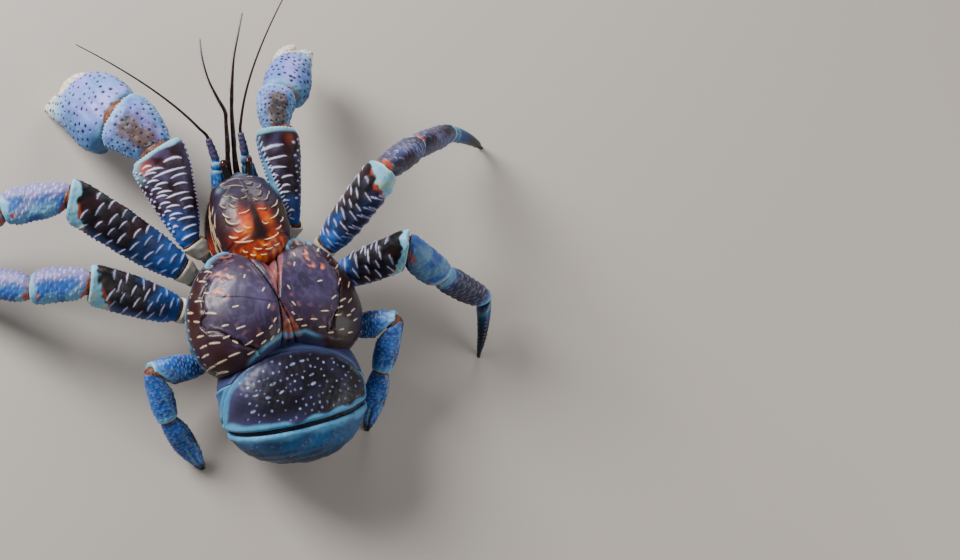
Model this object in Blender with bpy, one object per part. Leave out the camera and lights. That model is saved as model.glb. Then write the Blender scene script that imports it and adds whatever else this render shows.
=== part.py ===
"""Coconut crab, life size: a still model of a living animal standing on a floor.

Lengths are in millimetres while the forms are made; the last lines turn them into metres
and hang every piece on one empty, each with its origin in its own middle.
The head looks along +Y, the crab's right side is +X, and the floor is z = 0.
Every article of a limb is a loft between unlike sections, cut back at each joint to the
plane that halves the bend, so that neighbours meet face to face with a narrow gap.
"""
import math

import bpy
import bmesh
from mathutils import Matrix, Vector

for old in list(bpy.data.objects):
    bpy.data.objects.remove(old, do_unlink=True)

crab = bpy.data.collections.new("coconut_crab")
bpy.context.scene.collection.children.link(crab)

# ---- driving dimensions, mm ------------------------------------------------------------
GAP = 0.3                 # free space between neighbouring pieces
THORAX_HALF = 58.0        # half width over the gill covers
THORAX_TOP = 88.0         # height of the back above the floor
THORAX_BASE = 38.0        # lower face of the gill covers
STERNUM_BASE = 20.0       # underside of the chest
SHIELD_REAR, SHIELD_FRONT = 23.0, 91.0
SHIELD_HALF = 25.0        # half width of the head shield
SHIELD_BASE = 46.0
HEAD_BASE = 25.0          # underside of the mouthparts
TAIL_CENTRE = (1.0, -58.0, 43.0)
TAIL_RADII = (48.5, 45.0, 33.0)
TAIL_YAW = -6.0           # degrees, the tail swings a little to the left
FLOOR = 0.0
MIDDLE = (-20.0, 48.0, 0.0)   # middle of the whole footprint, the model's origin

# Colours of the living shell, linear RGB.
DARK = (0.020, 0.012, 0.028)
BLUE = (0.035, 0.145, 0.42)
PALE = (0.22, 0.42, 0.55)
LILAC = (0.22, 0.21, 0.42)
MAROON = (0.060, 0.018, 0.020)
PURPLE = (0.070, 0.045, 0.085)
RUST = (0.30, 0.045, 0.012)
EYE = (0.12, 0.012, 0.010)
FEELER = (0.045, 0.012, 0.010)

to_camera = Vector((-0.24, -0.22, 0.94)).normalized()


# ---- helpers ---------------------------------------------------------------------------
def new_object(name, bm, colour, rough=0.35):
    mesh = bpy.data.meshes.new(name)
    bmesh.ops.recalc_face_normals(bm, faces=bm.faces)
    bm.to_mesh(mesh)
    bm.free()
    material = bpy.data.materials.new(name)
    material.use_nodes = True
    shader = material.node_tree.nodes["Principled BSDF"]
    shader.inputs["Base Color"].default_value = (*colour, 1.0)
    shader.inputs["Roughness"].default_value = rough
    mesh.materials.append(material)
    obj = bpy.data.objects.new(name, mesh)
    crab.objects.link(obj)
    return obj


def section(centre, across, out, half_across, half_out, sides, power=2.3):
    """Points of one superellipse section in the plane of the two directions."""
    points = []
    for i in range(sides):
        angle = 2 * math.pi * (i + 0.5) / sides
        c, s = math.cos(angle), math.sin(angle)
        u = math.copysign(abs(c) ** (2 / power), c) * half_across
        v = math.copysign(abs(s) ** (2 / power), s) * half_out
        points.append(centre + across * u + out * v)
    return points


def loft(name, rings, colour, rough=0.35):
    """Closed body through rings with equal numbers of points."""
    bm = bmesh.new()
    rows = [[bm.verts.new(p) for p in ring] for ring in rings]
    count = len(rows[0])
    for a, b in zip(rows, rows[1:]):
        for i in range(count):
            j = (i + 1) % count
            bm.faces.new((a[i], a[j], b[j], b[i]))
    bm.faces.new(rows[0])
    bm.faces.new(rows[-1])
    return new_object(name, bm, colour, rough)


def slice_off(obj, point, normal):
    """Take away what lies on the normal's side of a plane and close the cut."""
    bm = bmesh.new()
    bm.from_mesh(obj.data)
    geometry = list(bm.verts) + list(bm.edges) + list(bm.faces)
    bmesh.ops.bisect_plane(bm, geom=geometry, dist=0.02, plane_co=Vector(point),
                           plane_no=Vector(normal), clear_outer=True)
    open_edges = [edge for edge in bm.edges if edge.is_boundary]
    bmesh.ops.holes_fill(bm, edges=open_edges, sides=0)
    bmesh.ops.remove_doubles(bm, verts=bm.verts, dist=0.05)
    bmesh.ops.dissolve_degenerate(bm, edges=bm.edges, dist=0.02)
    bmesh.ops.recalc_face_normals(bm, faces=bm.faces)
    bm.to_mesh(obj.data)
    bm.free()


def keep_largest(bm):
    """Drop every loose island but the one with the most faces."""
    left = set(bm.verts)
    islands = []
    while left:
        stack = [left.pop()]
        island = set(stack)
        while stack:
            for edge in stack.pop().link_edges:
                for vert in edge.verts:
                    if vert not in island:
                        island.add(vert)
                        left.discard(vert)
                        stack.append(vert)
        islands.append(island)
    islands.sort(key=len)
    for island in islands[:-1]:
        bmesh.ops.delete(bm, geom=list(island), context="VERTS")


def combine(obj, other_mesh, operation, solver="EXACT"):
    """One Boolean between an object and a closed mesh, applied at once."""
    tool = bpy.data.objects.new("tool", other_mesh)
    bpy.context.scene.collection.objects.link(tool)
    step = obj.modifiers.new("step", "BOOLEAN")
    step.operation = operation
    step.solver = solver
    step.object = tool
    graph = bpy.context.evaluated_depsgraph_get()
    result = bpy.data.meshes.new_from_object(obj.evaluated_get(graph))
    obj.modifiers.clear()
    bm = bmesh.new()
    bm.from_mesh(result)
    bmesh.ops.remove_doubles(bm, verts=bm.verts, dist=0.03)
    bmesh.ops.dissolve_degenerate(bm, edges=bm.edges, dist=0.01)
    keep_largest(bm)
    for face in bm.faces:
        face.material_index = 0
    bmesh.ops.recalc_face_normals(bm, faces=bm.faces)
    bm.to_mesh(obj.data)
    bm.free()
    bpy.data.objects.remove(tool, do_unlink=True)


def grown(obj, amount):
    """Copy of an object's mesh with its skin moved outward."""
    bm = bmesh.new()
    bm.from_mesh(obj.data)
    bmesh.ops.triangulate(bm, faces=bm.faces)
    bm.normal_update()
    moves = []
    for vert in bm.verts:
        normals = [face.normal for face in vert.link_faces]
        mean = sum(normals, Vector()).normalized()
        reach = max(0.35, min(mean.dot(n) for n in normals))
        moves.append(mean * amount / reach)
    for vert, move in zip(bm.verts, moves):
        vert.co += move
    mesh = bpy.data.meshes.new("grown")
    bm.to_mesh(mesh)
    bm.free()
    return mesh


def cut_clear(obj, neighbours, amount=GAP, solver="EXACT"):
    """Cut an object back so that it stands free of its neighbours."""
    for neighbour in neighbours:
        combine(obj, grown(neighbour, amount), "DIFFERENCE", solver)


def spline(rows, t):
    """Value of a table of (t, values...) at t, smooth between the rows."""
    for i in range(len(rows) - 1):
        if t <= rows[i + 1][0] or i == len(rows) - 2:
            a, b = rows[i], rows[i + 1]
            f = (t - a[0]) / (b[0] - a[0])
            f = min(max(f, 0.0), 1.0)
            f = f * f * (3 - 2 * f)
            return [p + (q - p) * f for p, q in zip(a[1:], b[1:])]


# ---- limbs -----------------------------------------------------------------------------
# Rows: place along the article 0-1, half width, half thickness, shift across.
HIP = [(0.0, 8.0, 7.5, 0), (1.0, 8.5, 7.5, 0)]
CLAW_HIP = [(0.0, 7.5, 7.0, 0), (1.0, 8.0, 7.5, 0)]
MERUS = [(0.0, 8.8, 7.4, 0), (0.15, 11.2, 8.6, 0), (0.45, 13.3, 9.3, 0.3),
         (0.8, 13.7, 9.4, 0.3), (0.95, 12.9, 8.9, 0), (1.0, 10.8, 8.0, 0)]
CARPUS = [(0.0, 8.4, 7.2, 0), (0.22, 10.6, 8.4, 0.5), (0.6, 11.6, 8.8, 1.0),
          (0.88, 11.0, 8.2, 0.4), (1.0, 8.6, 7.0, 0)]
PROPODUS = [(0.0, 7.4, 6.4, 0), (0.15, 9.4, 7.6, 0), (0.5, 9.8, 7.6, 0.2),
            (0.85, 8.3, 6.6, 0), (1.0, 6.2, 5.4, 0)]
CLAW_MERUS = [(0.0, 7.0, 7.2, 0), (0.2, 11.0, 10.0, 0), (0.55, 16.0, 12.6, 0),
              (0.85, 19.0, 13.4, 0), (0.95, 18.4, 12.8, 0), (1.0, 15.0, 11.0, 0)]
CLAW_CARPUS = [(0.0, 11.5, 9.5, 0), (0.25, 15.5, 12.5, 1.0), (0.65, 19.5, 14.6, 1.0),
               (0.9, 20.0, 14.4, 0), (1.0, 17.0, 12.4, 0)]
PALM = [(0.0, 16.5, 11.5, -1.5), (0.08, 22.5, 14.4, -2.0), (0.22, 25.8, 16.8, -0.8),
        (0.40, 25.0, 17.0, 1.2), (0.54, 21.6, 15.6, 1.8), (0.65, 16.6, 13.2, -0.4),
        (0.75, 11.8, 10.6, -3.0), (0.86, 7.6, 7.6, -5.4), (0.95, 4.0, 4.6, -7.2),
        (1.0, 1.8, 2.4, -8.2)]
FINGER = [(0.0, 8.4, 9.0, 0), (0.2, 9.8, 9.8, 1.4), (0.45, 9.0, 8.6, 1.8),
          (0.75, 6.0, 6.0, 0.4), (1.0, 1.8, 2.2, -3.4)]
SMALL_MERUS = [(0.0, 6.0, 5.5, 0), (0.3, 8.2, 6.6, 0), (0.8, 8.6, 6.8, 0), (1.0, 7.0, 6.0, 0)]
SMALL_CARPUS = [(0.0, 6.2, 5.6, 0), (0.35, 7.8, 6.4, 0), (0.8, 7.6, 6.2, 0), (1.0, 6.2, 5.4, 0)]
SMALL_HAND = [(0.0, 5.6, 5.0, 0), (0.25, 7.6, 6.2, 0), (0.6, 6.8, 5.4, 0.3),
              (0.8, 4.6, 3.9, 0), (0.94, 2.6, 2.4, 0), (1.0, 1.5, 1.5, 0)]


def article(name, start, end, face, rows, size, colour, sides=12, steps=6, overlong=True):
    """Straight article from start to end; its broad side looks along face."""
    axis = (end - start).normalized()
    across = axis.cross(face).normalized()
    out = across.cross(axis)
    length = (end - start).length
    rings = []
    stops = sorted({row[0] for row in rows} | {i / steps for i in range(steps + 1)})
    stops = [t for k, t in enumerate(stops) if k == 0 or t - stops[k - 1] > 0.045]
    for t in stops:
        wide, thick, shift = spline(rows, t)
        centre = start + axis * length * t + across * shift * size
        rings.append(section(centre, across, out, wide * size, thick * size, sides))
    if overlong:
        wide = spline(rows, 0.0)[0] * size
        rings.insert(0, [p - axis * wide for p in rings[0]])
        wide = spline(rows, 1.0)[0] * size
        rings.append([p + axis * wide for p in rings[-1]])
    return loft(name, rings, colour)


def dactyl(name, start, tip, bend, half, colour, sides=10, steps=8):
    """Curved last article that tapers to a foot on the floor."""
    axis = (tip - start).normalized()
    middle = (start + tip) / 2 + bend
    rings = []
    for i in range(-1, steps + 1):
        t = i / steps
        place = start * (1 - t) ** 2 + middle * 2 * t * (1 - t) + tip * t ** 2
        along = ((middle - start) * (1 - t) + (tip - middle) * t).normalized()
        across = along.cross(bend).normalized()
        out = across.cross(along)
        wide = half * (1 - 0.78 * min(max(t, 0.0), 1.0) ** 1.2)
        rings.append(section(place, across, out, wide, wide * 1.12, sides, 2.0))
    foot = rings[-1]
    rings.append([p + axis * 2.0 for p in foot])
    obj = loft(name, rings, colour)
    return obj


def mitre(before, after, joint, axis_in, axis_out, knee=0.0):
    """Cut two neighbours back to the plane that halves the bend between them.

    A knee above zero also takes the sharp outer corner off, that far from the joint.
    """
    normal = (axis_in + axis_out).normalized()
    outward = (axis_in - axis_out).normalized()
    if before is not None:
        slice_off(before, joint - normal * GAP / 2, normal)
    if after is not None:
        slice_off(after, joint + normal * GAP / 2, -normal)
    if knee > 0:
        for piece in (before, after):
            slice_off(piece, joint + outward * knee, outward)


LEGS = {
    # name: (joints from the chest outward, direction that the broad side faces)
    "leg2_left": [(-34, 29, 30), (-49, 41, 40), (-113, 94, 66), (-152, 98, 50),
                  (-203, 91, 24), (-236, 66, 0)],
    "leg2_right": [(36, 27, 30), (52, 37, 42), (84, 63, 104), (117, 82, 79),
                   (161, 100, 38), (196, 97, 0)],
    "leg3_left": [(-38, 7, 29), (-57, 15, 36), (-113, 37, 62), (-146, 44, 49),
                  (-185, 66, 24), (-219, 72, 0)],
    "leg3_right": [(38, 9, 29), (55, 14, 38), (90, 12, 90), (115, -5, 66),
                   (154, -20, 30), (150, -52, 0)],
}
FACES = {
    "leg2_left": to_camera,
    "leg2_right": Vector((-0.75, 0.35, 0.55)),
    "leg3_left": to_camera,
    "leg3_right": Vector((-0.35, -0.75, 0.55)),
}


def walking_leg(name, size):
    joints = [Vector(p) for p in LEGS[name]]
    face = FACES[name]
    axes = [(b - a).normalized() for a, b in zip(joints, joints[1:])]
    merus = article(name + "_merus", joints[1], joints[2], face, MERUS, size, DARK)
    carpus = article(name + "_carpus", joints[2], joints[3], face, CARPUS, size, LILAC)
    propodus = article(name + "_propodus", joints[3], joints[4], face, PROPODUS, size, PURPLE)
    lift = Vector((0, 0, 1)).cross(axes[4]).cross(axes[4]) * -9.0
    foot = dactyl(name + "_dactyl", joints[4], joints[5], lift, 5.6 * size, BLUE)
    mitre(None, merus, joints[1], axes[0], axes[1])
    mitre(merus, carpus, joints[2], axes[1], axes[2], 9.6 * size)
    mitre(carpus, propodus, joints[3], axes[2], axes[3])
    mitre(propodus, foot, joints[4], axes[3], (axes[3] + axes[4]).normalized())
    slice_off(foot, (0, 0, FLOOR), (0, 0, -1))
    return [merus, carpus, propodus, foot]


SMALL_LEGS = {
    "leg4_left": [(-36, -14, 29), (-50, -24, 34), (-84, -26, 47), (-79, -54, 30), (-59, -85, 0)],
    "leg4_right": [(36, -14, 29), (51, -20, 36), (79, -27, 52), (67, -54, 34), (57, -85, 0)],
}


def small_leg(name):
    joints = [Vector(p) for p in SMALL_LEGS[name]]
    axes = [(b - a).normalized() for a, b in zip(joints, joints[1:])]
    merus = article(name + "_merus", joints[1], joints[2], to_camera, SMALL_MERUS, 1, BLUE)
    carpus = article(name + "_carpus", joints[2], joints[3], to_camera, SMALL_CARPUS, 1, BLUE)
    hand = article(name + "_hand", joints[3], joints[4] + axes[3] * 1.0, to_camera,
                   SMALL_HAND, 1, PALE)
    mitre(None, merus, joints[1], axes[0], axes[1])
    mitre(merus, carpus, joints[2], axes[1], axes[2], 7.6)
    mitre(carpus, hand, joints[3], axes[2], axes[3])
    slice_off(hand, (0, 0, FLOOR), (0, 0, -1))
    return [merus, carpus, hand]


CLAWS = {
    # name: (joints, size, finger side, how slim, lean across, how far the finger gapes)
    "claw_left": ([(-20, 40, 31), (-38, 56, 42), (-49, 117, 58), (-65, 145, 52), (-98, 184, 5)],
                  1.0, 1.0, 1.0, 0.0, 4.5),
    "claw_right": ([(20, 40, 31), (31, 55, 43), (33, 112, 71), (43, 140, 58), (77, 181, 29)],
                   0.84, -1.0, 0.74, 3.4, 16.0),
}


def claw(name):
    points, size, side, slim, lean, gape = CLAWS[name]
    face = to_camera
    joints = [Vector(p) for p in points]
    axes = [(b - a).normalized() for a, b in zip(joints, joints[1:])]
    rows = [(t, w * slim ** 0.7, d, (s + lean * t) * side) for t, w, d, s in CLAW_MERUS]
    merus = article(name + "_merus", joints[1], joints[2], face, rows, size ** 0.5, MAROON)
    rows = [(t, w * slim, d, (s + lean) * side) for t, w, d, s in CLAW_CARPUS]
    carpus = article(name + "_carpus", joints[2], joints[3], face, rows, size, LILAC)
    rows = [(t, w * slim, d, s * slim * side) for t, w, d, s in PALM]
    palm = article(name + "_palm", joints[3], joints[4], face, rows, size, LILAC, 14, 8, False)
    across = axes[3].cross(face).normalized() * side * size * slim
    out = across.cross(axes[3]).normalized() * side
    length = (joints[4] - joints[3]).length
    root = joints[3] + axes[3] * length * 0.52 + across * 15.0 - out * 2.0
    tip = joints[3] + axes[3] * length * (0.93 + gape * 0.006) + across * gape - out * 2.0
    rows = [(t, w * slim, d * 0.9, s * slim * side) for t, w, d, s in FINGER]
    finger = article(name + "_finger", root, tip, face, rows, size, PALE, 12, 8, False)
    mitre(None, merus, joints[1], axes[0], axes[1])
    mitre(merus, carpus, joints[2], axes[1], axes[2])
    mitre(carpus, palm, joints[3], axes[2], axes[3])
    cut_clear(finger, [palm])
    for piece in (palm, finger):
        slice_off(piece, (0, 0, FLOOR), (0, 0, -1))
    return [merus, carpus, palm, finger]


# ---- thorax ----------------------------------------------------------------------------
# Plan of one half of the gill covers at their widest level, from the front notch back.
PLAN = [(0, 27), (10, 37), (22, 41), (34, 37), (46, 26), (54, 12), (58, -3), (58.5, -16),
        (54, -30), (44, -39), (32, -42), (20, -40), (9, -34), (0, -30)]
# Rows: height, scale of the plan.
DOME = [(THORAX_BASE, 0.84), (42, 0.93), (47, 0.985), (53, 1.0), (60, 0.985), (67, 0.93),
        (74, 0.83), (80, 0.68), (84, 0.52), (86.6, 0.34), (THORAX_TOP, 0.14)]
CROSS = Vector((-2.8, -3.0, 0))


def thorax(name, colour):
    outline = [Vector((x, y, 0)) for x, y in PLAN]
    outline += [Vector((-x, y, 0)) for x, y in PLAN[-2:0:-1]]
    centre = Vector((-1, -3, 0))
    rings = []
    for height, scale in DOME:
        row = []
        for p in outline:
            q = centre + (p - centre) * scale
            q.z = height
            row.append(q)
        rings.append(row)
    return loft(name, rings, colour)


def wedge(name, colour, first, second, inside):
    """Quarter of the thorax between two of the lines that cross on the back."""
    obj = thorax(name, colour)
    for line in (first, second):
        direction = Vector((line[0], line[1], 0)).normalized()
        normal = direction.cross(Vector((0, 0, 1)))
        if normal.dot(inside) > 0:
            normal = -normal
        slice_off(obj, CROSS - normal * GAP / 2, normal)
    return obj


FRONT_LEFT, FRONT_RIGHT = (-8.2, 27.5), (7.6, 27.5)
REAR_LEFT, REAR_RIGHT = (-1.2, -24.0), (7.0, -24.0)


# ---- tail ------------------------------------------------------------------------------
def tail_form(name, colour, scale=1.0):
    """The whole round tail, a slightly squared ball later sliced into its plates."""
    turn = Matrix.Rotation(math.radians(TAIL_YAW), 3, "Z")
    bm = bmesh.new()
    bmesh.ops.create_uvsphere(bm, u_segments=30, v_segments=14, radius=1.0)
    for vert in bm.verts:
        p = vert.co
        r = math.hypot(p.x, p.y)
        full = (abs(p.x) ** 2.3 + abs(p.y) ** 2.3) ** (1 / 2.3)
        spread = r ** 0.86 / full if full > 1e-6 else 0.0
        x, y = p.x * spread * TAIL_RADII[0], p.y * spread * TAIL_RADII[1]
        vert.co = Vector(TAIL_CENTRE) + turn @ Vector((x, y, p.z * TAIL_RADII[2])) * scale
    return new_object(name, bm, colour)


BACK = Matrix.Rotation(math.radians(TAIL_YAW), 3, "Z") @ Vector((0, -1, 0))
SIDE = Matrix.Rotation(math.radians(TAIL_YAW), 3, "Z") @ Vector((1, 0, 0))
UP = Vector((0, 0, 1))
PLANE_A = (Vector((2, -28, 78)), (BACK * 0.63 + UP * 0.77).normalized())
PLANE_B = (Vector((-2, -82.5, 70)), (BACK * 0.90 - UP * 0.41 + SIDE * 0.13).normalized())
PLANE_C = (Vector((0, 0, 31)), UP)
FOLD = 3.0                # width of the soft fold between the last two plates


def tail_piece(name, colour, cuts, scale=1.0):
    obj = tail_form(name, colour, scale)
    for point, normal, shift in cuts:
        slice_off(obj, point + normal * shift, normal)
    return obj


def tail():
    a_point, a_normal = PLANE_A
    b_point, b_normal = PLANE_B
    c_point, c_normal = PLANE_C
    half = GAP / 2
    above = (a_point, -a_normal, -half)
    below = (a_point, a_normal, -half)
    base = (c_point, -c_normal, -half)
    mid = (Vector(TAIL_CENTRE) + BACK * -8.0, BACK, 0)
    pieces = [
        tail_piece("tail_plate_front", LILAC, [below, base, (mid[0], BACK, -half)]),
        tail_piece("tail_plate_back", DARK, [above, (b_point, b_normal, -half)]),
        tail_piece("tail_fold", MAROON, [(b_point, -b_normal, -half), base,
                                         (b_point, b_normal, FOLD - half)], 0.955),
        tail_piece("tail_plate_rear", BLUE, [(b_point, -b_normal, -FOLD - half), base]),
    ]
    for label, sign in (("left", -1), ("right", 1)):
        pieces.append(tail_piece("tail_side_" + label, BLUE, [
            below, base, (mid[0], -BACK, -half), (b_point, b_normal, -half),
            (Vector(TAIL_CENTRE), SIDE * -sign, -half)]))
    pieces.append(tail_piece("tail_belly", PURPLE, [(c_point, c_normal, -half)]))
    return pieces


# ---- head ------------------------------------------------------------------------------
# Rows: place along the head, half width, top height.
SHIELD = [(SHIELD_REAR, 7.0, 77.0), (26, 12.5, 80.5), (31, 18.0, 83.0), (38, 22.5, 84.5),
          (47, 25.0, 84.8), (56, SHIELD_HALF, 83.5), (66, 23.8, 80.8), (74, 21.6, 77.0),
          (81, 19.4, 73.0), (85, 16.6, 70.0), (88, 9.0, 67.6), (SHIELD_FRONT, 2.6, 65.6)]
HEAD_MID = -1.5           # the head turns a little to the left of the chest's middle


def shield(name, colour):
    rings = []
    for y, half, top in SHIELD:
        row = []
        middle = HEAD_MID - (y - 50) * 0.008
        side = min(58.0, top - 8)
        for i in range(13):
            a = math.pi * i / 12
            x = math.cos(a) * half
            z = side + (top - side) * math.sin(a) ** 0.8
            row.append(Vector((middle + x, y, z)))
        base = SHIELD_BASE if y < 84 else SHIELD_BASE + (y - 84) * 1.6
        row.append(Vector((middle - half * 0.9, y, base)))
        row.append(Vector((middle, y, base)))
        row.append(Vector((middle + half * 0.9, y, base)))
        rings.append(row)
    return loft(name, rings, colour)


# Rows: place along the head, half width at the top, lowest height.
JAW = [(44, 25.0, 30.0), (52, 26.5, 27.0), (62, 25.5, HEAD_BASE), (72, 22.5, 26.5),
       (80, 18.5, 30.0), (85, 14.0, 35.0)]


def jaw(name, colour):
    rings = []
    top = SHIELD_BASE - GAP
    for y, half, low in JAW:
        row = []
        for i in range(12):
            a = math.pi * i / 11
            x = math.cos(a) * half
            z = top - (top - low) * math.sin(a) ** 0.7
            row.append(Vector((HEAD_MID + x, y, z)))
        rings.append(row)
    return loft(name, rings, colour)


def head():
    cover = shield("head_shield", PURPLE)
    pieces = [cover]
    wall = 13.0
    cuts = {
        "cheek_left": [(-wall, 1)], "mouth_left": [(-wall, -1), (0, 1)],
        "mouth_right": [(0, -1), (wall, 1)], "cheek_right": [(wall, -1)],
    }
    for name, planes in cuts.items():
        obj = jaw(name, MAROON if name.startswith("cheek") else PURPLE)
        for x, sign in planes:
            slice_off(obj, (HEAD_MID + x - sign * GAP / 2, 0, 0), (sign, 0, 0))
        pieces.append(obj)
    return pieces


def feeler(name, points, radii, colour, resolution=2):
    """Round rod of changing thickness: a bevelled curve, turned into a closed mesh."""
    curve = bpy.data.curves.new(name, "CURVE")
    curve.dimensions = "3D"
    curve.bevel_depth = 1.0
    curve.bevel_resolution = resolution
    curve.use_fill_caps = True
    line = curve.splines.new("POLY")
    line.points.add(len(points) - 1)
    for spot, place, radius in zip(line.points, points, radii):
        spot.co = (*place, 1.0)
        spot.radius = radius
    rod = bpy.data.objects.new(name + "_curve", curve)
    crab.objects.link(rod)
    graph = bpy.context.evaluated_depsgraph_get()
    mesh = bpy.data.meshes.new_from_object(rod.evaluated_get(graph))
    bpy.data.objects.remove(rod, do_unlink=True)
    bm = bmesh.new()
    bm.from_mesh(mesh)
    bmesh.ops.remove_doubles(bm, verts=bm.verts, dist=0.001)
    return new_object(name, bm, colour)


def whip(start, bend, tip, count):
    """Points of a smooth curve from start to tip."""
    points = []
    for i in range(1, count + 1):
        t = i / count
        points.append(Vector(start) * (1 - t) ** 2 + Vector(bend) * 2 * t * (1 - t)
                      + Vector(tip) * t ** 2)
    return points


def antenna(name, base, bend, tip):
    """Jointed base of an antenna with its whip."""
    radii = [4.6, 5.0, 3.4, 3.2, 4.0, 3.2, 2.2, 2.4, 3.0, 2.4, 1.2]
    rooted = [Vector(p) for p in base]
    points = [rooted[0], rooted[0].lerp(rooted[1], 0.6), rooted[0].lerp(rooted[1], 0.92),
              rooted[1], rooted[1].lerp(rooted[2], 0.5), rooted[2].lerp(rooted[1], 0.1),
              rooted[2], rooted[2].lerp(rooted[3], 0.3), rooted[2].lerp(rooted[3], 0.75),
              rooted[3].lerp(rooted[2], 0.06), rooted[3]]
    lash = whip(rooted[3], bend, tip, 9)
    points += lash
    radii += [0.95 - 0.65 * (i + 1) / 9 for i in range(9)]
    return feeler(name, points, radii, BLUE)


def antennule(name, points):
    radii = [2.6, 2.4, 1.9, 2.1, 1.7, 1.9, 1.5, 0.9, 0.7, 0.45]
    return feeler(name, points, radii, FEELER)


def eye(name, base, tip):
    base, tip = Vector(base), Vector(tip)
    points = [base.lerp(tip, t) for t in (-0.1, 0.2, 0.5, 0.72, 0.88, 1.0)]
    radii = [2.7, 2.6, 2.4, 2.6, 2.2, 1.0]
    return feeler(name, points, radii, EYE, 3)


def palp(name, side):
    """Third mouth limb: two thick joints that hang in front of the jaws."""
    points = [(HEAD_MID + side * x, y, z) for x, y, z in
              ((6.6, 84.0, 42), (7.4, 89, 37), (7.0, 92.5, 31), (6.6, 92.6, 29.5),
               (5.4, 91.5, 24), (4.6, 88.5, 20.5), (4.2, 86, 19.5))]
    return feeler(name, points, [3.2, 3.9, 3.0, 3.2, 3.2, 2.2, 1.0], PALE)


def feelers(cover):
    pieces = [
        antenna("antenna_left", [(-13, 86.5, 51), (-12, 98, 56), (-12, 103, 59), (-15, 117, 66)],
                (-40, 140, 100), (-93, 178, 110)),
        antenna("antenna_right", [(10.5, 86.5, 51), (8.5, 98, 57), (8, 103, 60), (7, 117, 67)],
                (10, 148, 96), (56, 199, 125)),
        antennule("antennule_left", [(-4.6, 86.5, 52), (-4.8, 95, 57), (-5, 104, 66),
                                     (-5, 106, 69), (-4.8, 122, 84), (-4.8, 123.5, 86),
                                     (-10, 134, 96), (-14, 142, 103), (-16, 156, 109),
                                     (-15, 169, 112)]),
        antennule("antennule_right", [(1.0, 86.5, 52), (0.2, 96, 58), (-0.4, 106, 68),
                                      (-0.4, 108, 70), (0.4, 130, 88), (0.6, 132, 90),
                                      (2, 143, 101), (4, 153, 110), (9, 166, 117),
                                      (14, 178, 122)]),
        eye("eye_left", (-8, 87, 61.5), (-9, 101, 65)),
        eye("eye_right", (6.5, 87, 61.5), (8.5, 100.5, 65)),
    ]
    for piece in pieces:
        cut_clear(piece, [cover])
    return pieces


# ---- chest with the eight hips ---------------------------------------------------------
def chest(name, colour):
    plan = [(-13, 42), (-26, 34), (-36, 20), (-39, 0), (-36, -20), (-24, -34),
            (24, -34), (36, -20), (39, 0), (36, 20), (26, 34), (13, 42)]
    rings = []
    for height, scale in ((STERNUM_BASE, 0.80), (24, 0.94), (30, 1.0), (THORAX_BASE - GAP, 0.98)):
        rings.append([Vector((x * scale, y * scale, height)) for x, y in plan])
    obj = loft(name, rings, colour)
    core = grown(obj, GAP)
    for table, rows, size in ((LEGS, HIP, 1.0), (SMALL_LEGS, HIP, 0.72),
                              ({k: v[0] for k, v in CLAWS.items()}, CLAW_HIP, 1.0)):
        for limb, points in table.items():
            root, joint, after = (Vector(p) for p in points[:3])
            axis_in, axis_out = (joint - root).normalized(), (after - joint).normalized()
            hip = article("hip", root - axis_in * 6, joint, to_camera, rows, size, colour, 8, 2)
            mitre(hip, None, joint, axis_in, axis_out)
            combine(obj, hip.data, "UNION")
            bpy.data.objects.remove(hip, do_unlink=True)
    return obj, core


# ---- assembly --------------------------------------------------------------------------
head_pieces = head()
cover = head_pieces[0]
feelers(cover)
sternum, core = chest("sternum", PALE)
for piece in head_pieces[1:]:
    cut_clear(piece, [sternum])
for side, mouth in ((-1, head_pieces[2]), (1, head_pieces[3])):
    cut_clear(palp("palp_left" if side < 0 else "palp_right", side), [cover, mouth])

left_cover = wedge("gill_cover_left", PURPLE, FRONT_LEFT, REAR_LEFT, Vector((-1, 0, 0)))
right_cover = wedge("gill_cover_right", PURPLE, FRONT_RIGHT, REAR_RIGHT, Vector((1, 0, 0)))
front_plate = wedge("back_plate_front", RUST, FRONT_LEFT, FRONT_RIGHT, Vector((0, 1, 0)))
rear_plate = wedge("back_plate_rear", PURPLE, REAR_LEFT, REAR_RIGHT, Vector((0, -1, 0)))
for piece in (left_cover, right_cover, front_plate):
    cut_clear(piece, [cover, sternum])

for name in LEGS:
    pieces = walking_leg(name, 1.0 if name.startswith("leg2") else 0.95)
    cut_clear(pieces[0], [left_cover if name.endswith("left") else right_cover])
for name in SMALL_LEGS:
    pieces = small_leg(name)
    cut_clear(pieces[0], [left_cover if name.endswith("left") else right_cover])
cheeks = {"claw_left": head_pieces[1], "claw_right": head_pieces[4]}
for name in CLAWS:
    pieces = claw(name)
    cut_clear(pieces[0], [cover, cheeks[name]])

for piece in tail():
    cut_clear(piece, [left_cover, right_cover, rear_plate], solver="MANIFOLD")
    combine(piece, core.copy(), "DIFFERENCE", "MANIFOLD")

# ---- metres, and one empty that carries the crab ---------------------------------------
stand = bpy.data.objects.new("coconut_crab_root", None)
crab.objects.link(stand)
for obj in list(crab.objects):
    if obj.type != "MESH":
        continue
    spots = [vert.co for vert in obj.data.vertices]
    pivot = sum(spots, Vector()) / len(spots)
    obj.data.transform(Matrix.Translation(-pivot))
    obj.data.transform(Matrix.Scale(0.001, 4))
    obj.location = (pivot - Vector(MIDDLE)) * 0.001
    obj.parent = stand
    for polygon in obj.data.polygons:
        polygon.use_smooth = True
    obj.data.set_sharp_from_angle(angle=math.radians(35))
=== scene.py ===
# %% [markdown]
# A coconut crab, life size, standing on a pale floor
#
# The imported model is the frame. Every solid of it is dressed here in the fine shell that
# the living animal shows: ridges, grooves, rims, soft joints and bristles. Positions are
# worked out in millimetres on the crab's own axes (head along +Y, its right side +X) and
# turned into the frame's metres at one place.

# %% The frame
import math

import bmesh
import bpy
import numpy as np
from mathutils import Matrix, Vector


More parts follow.
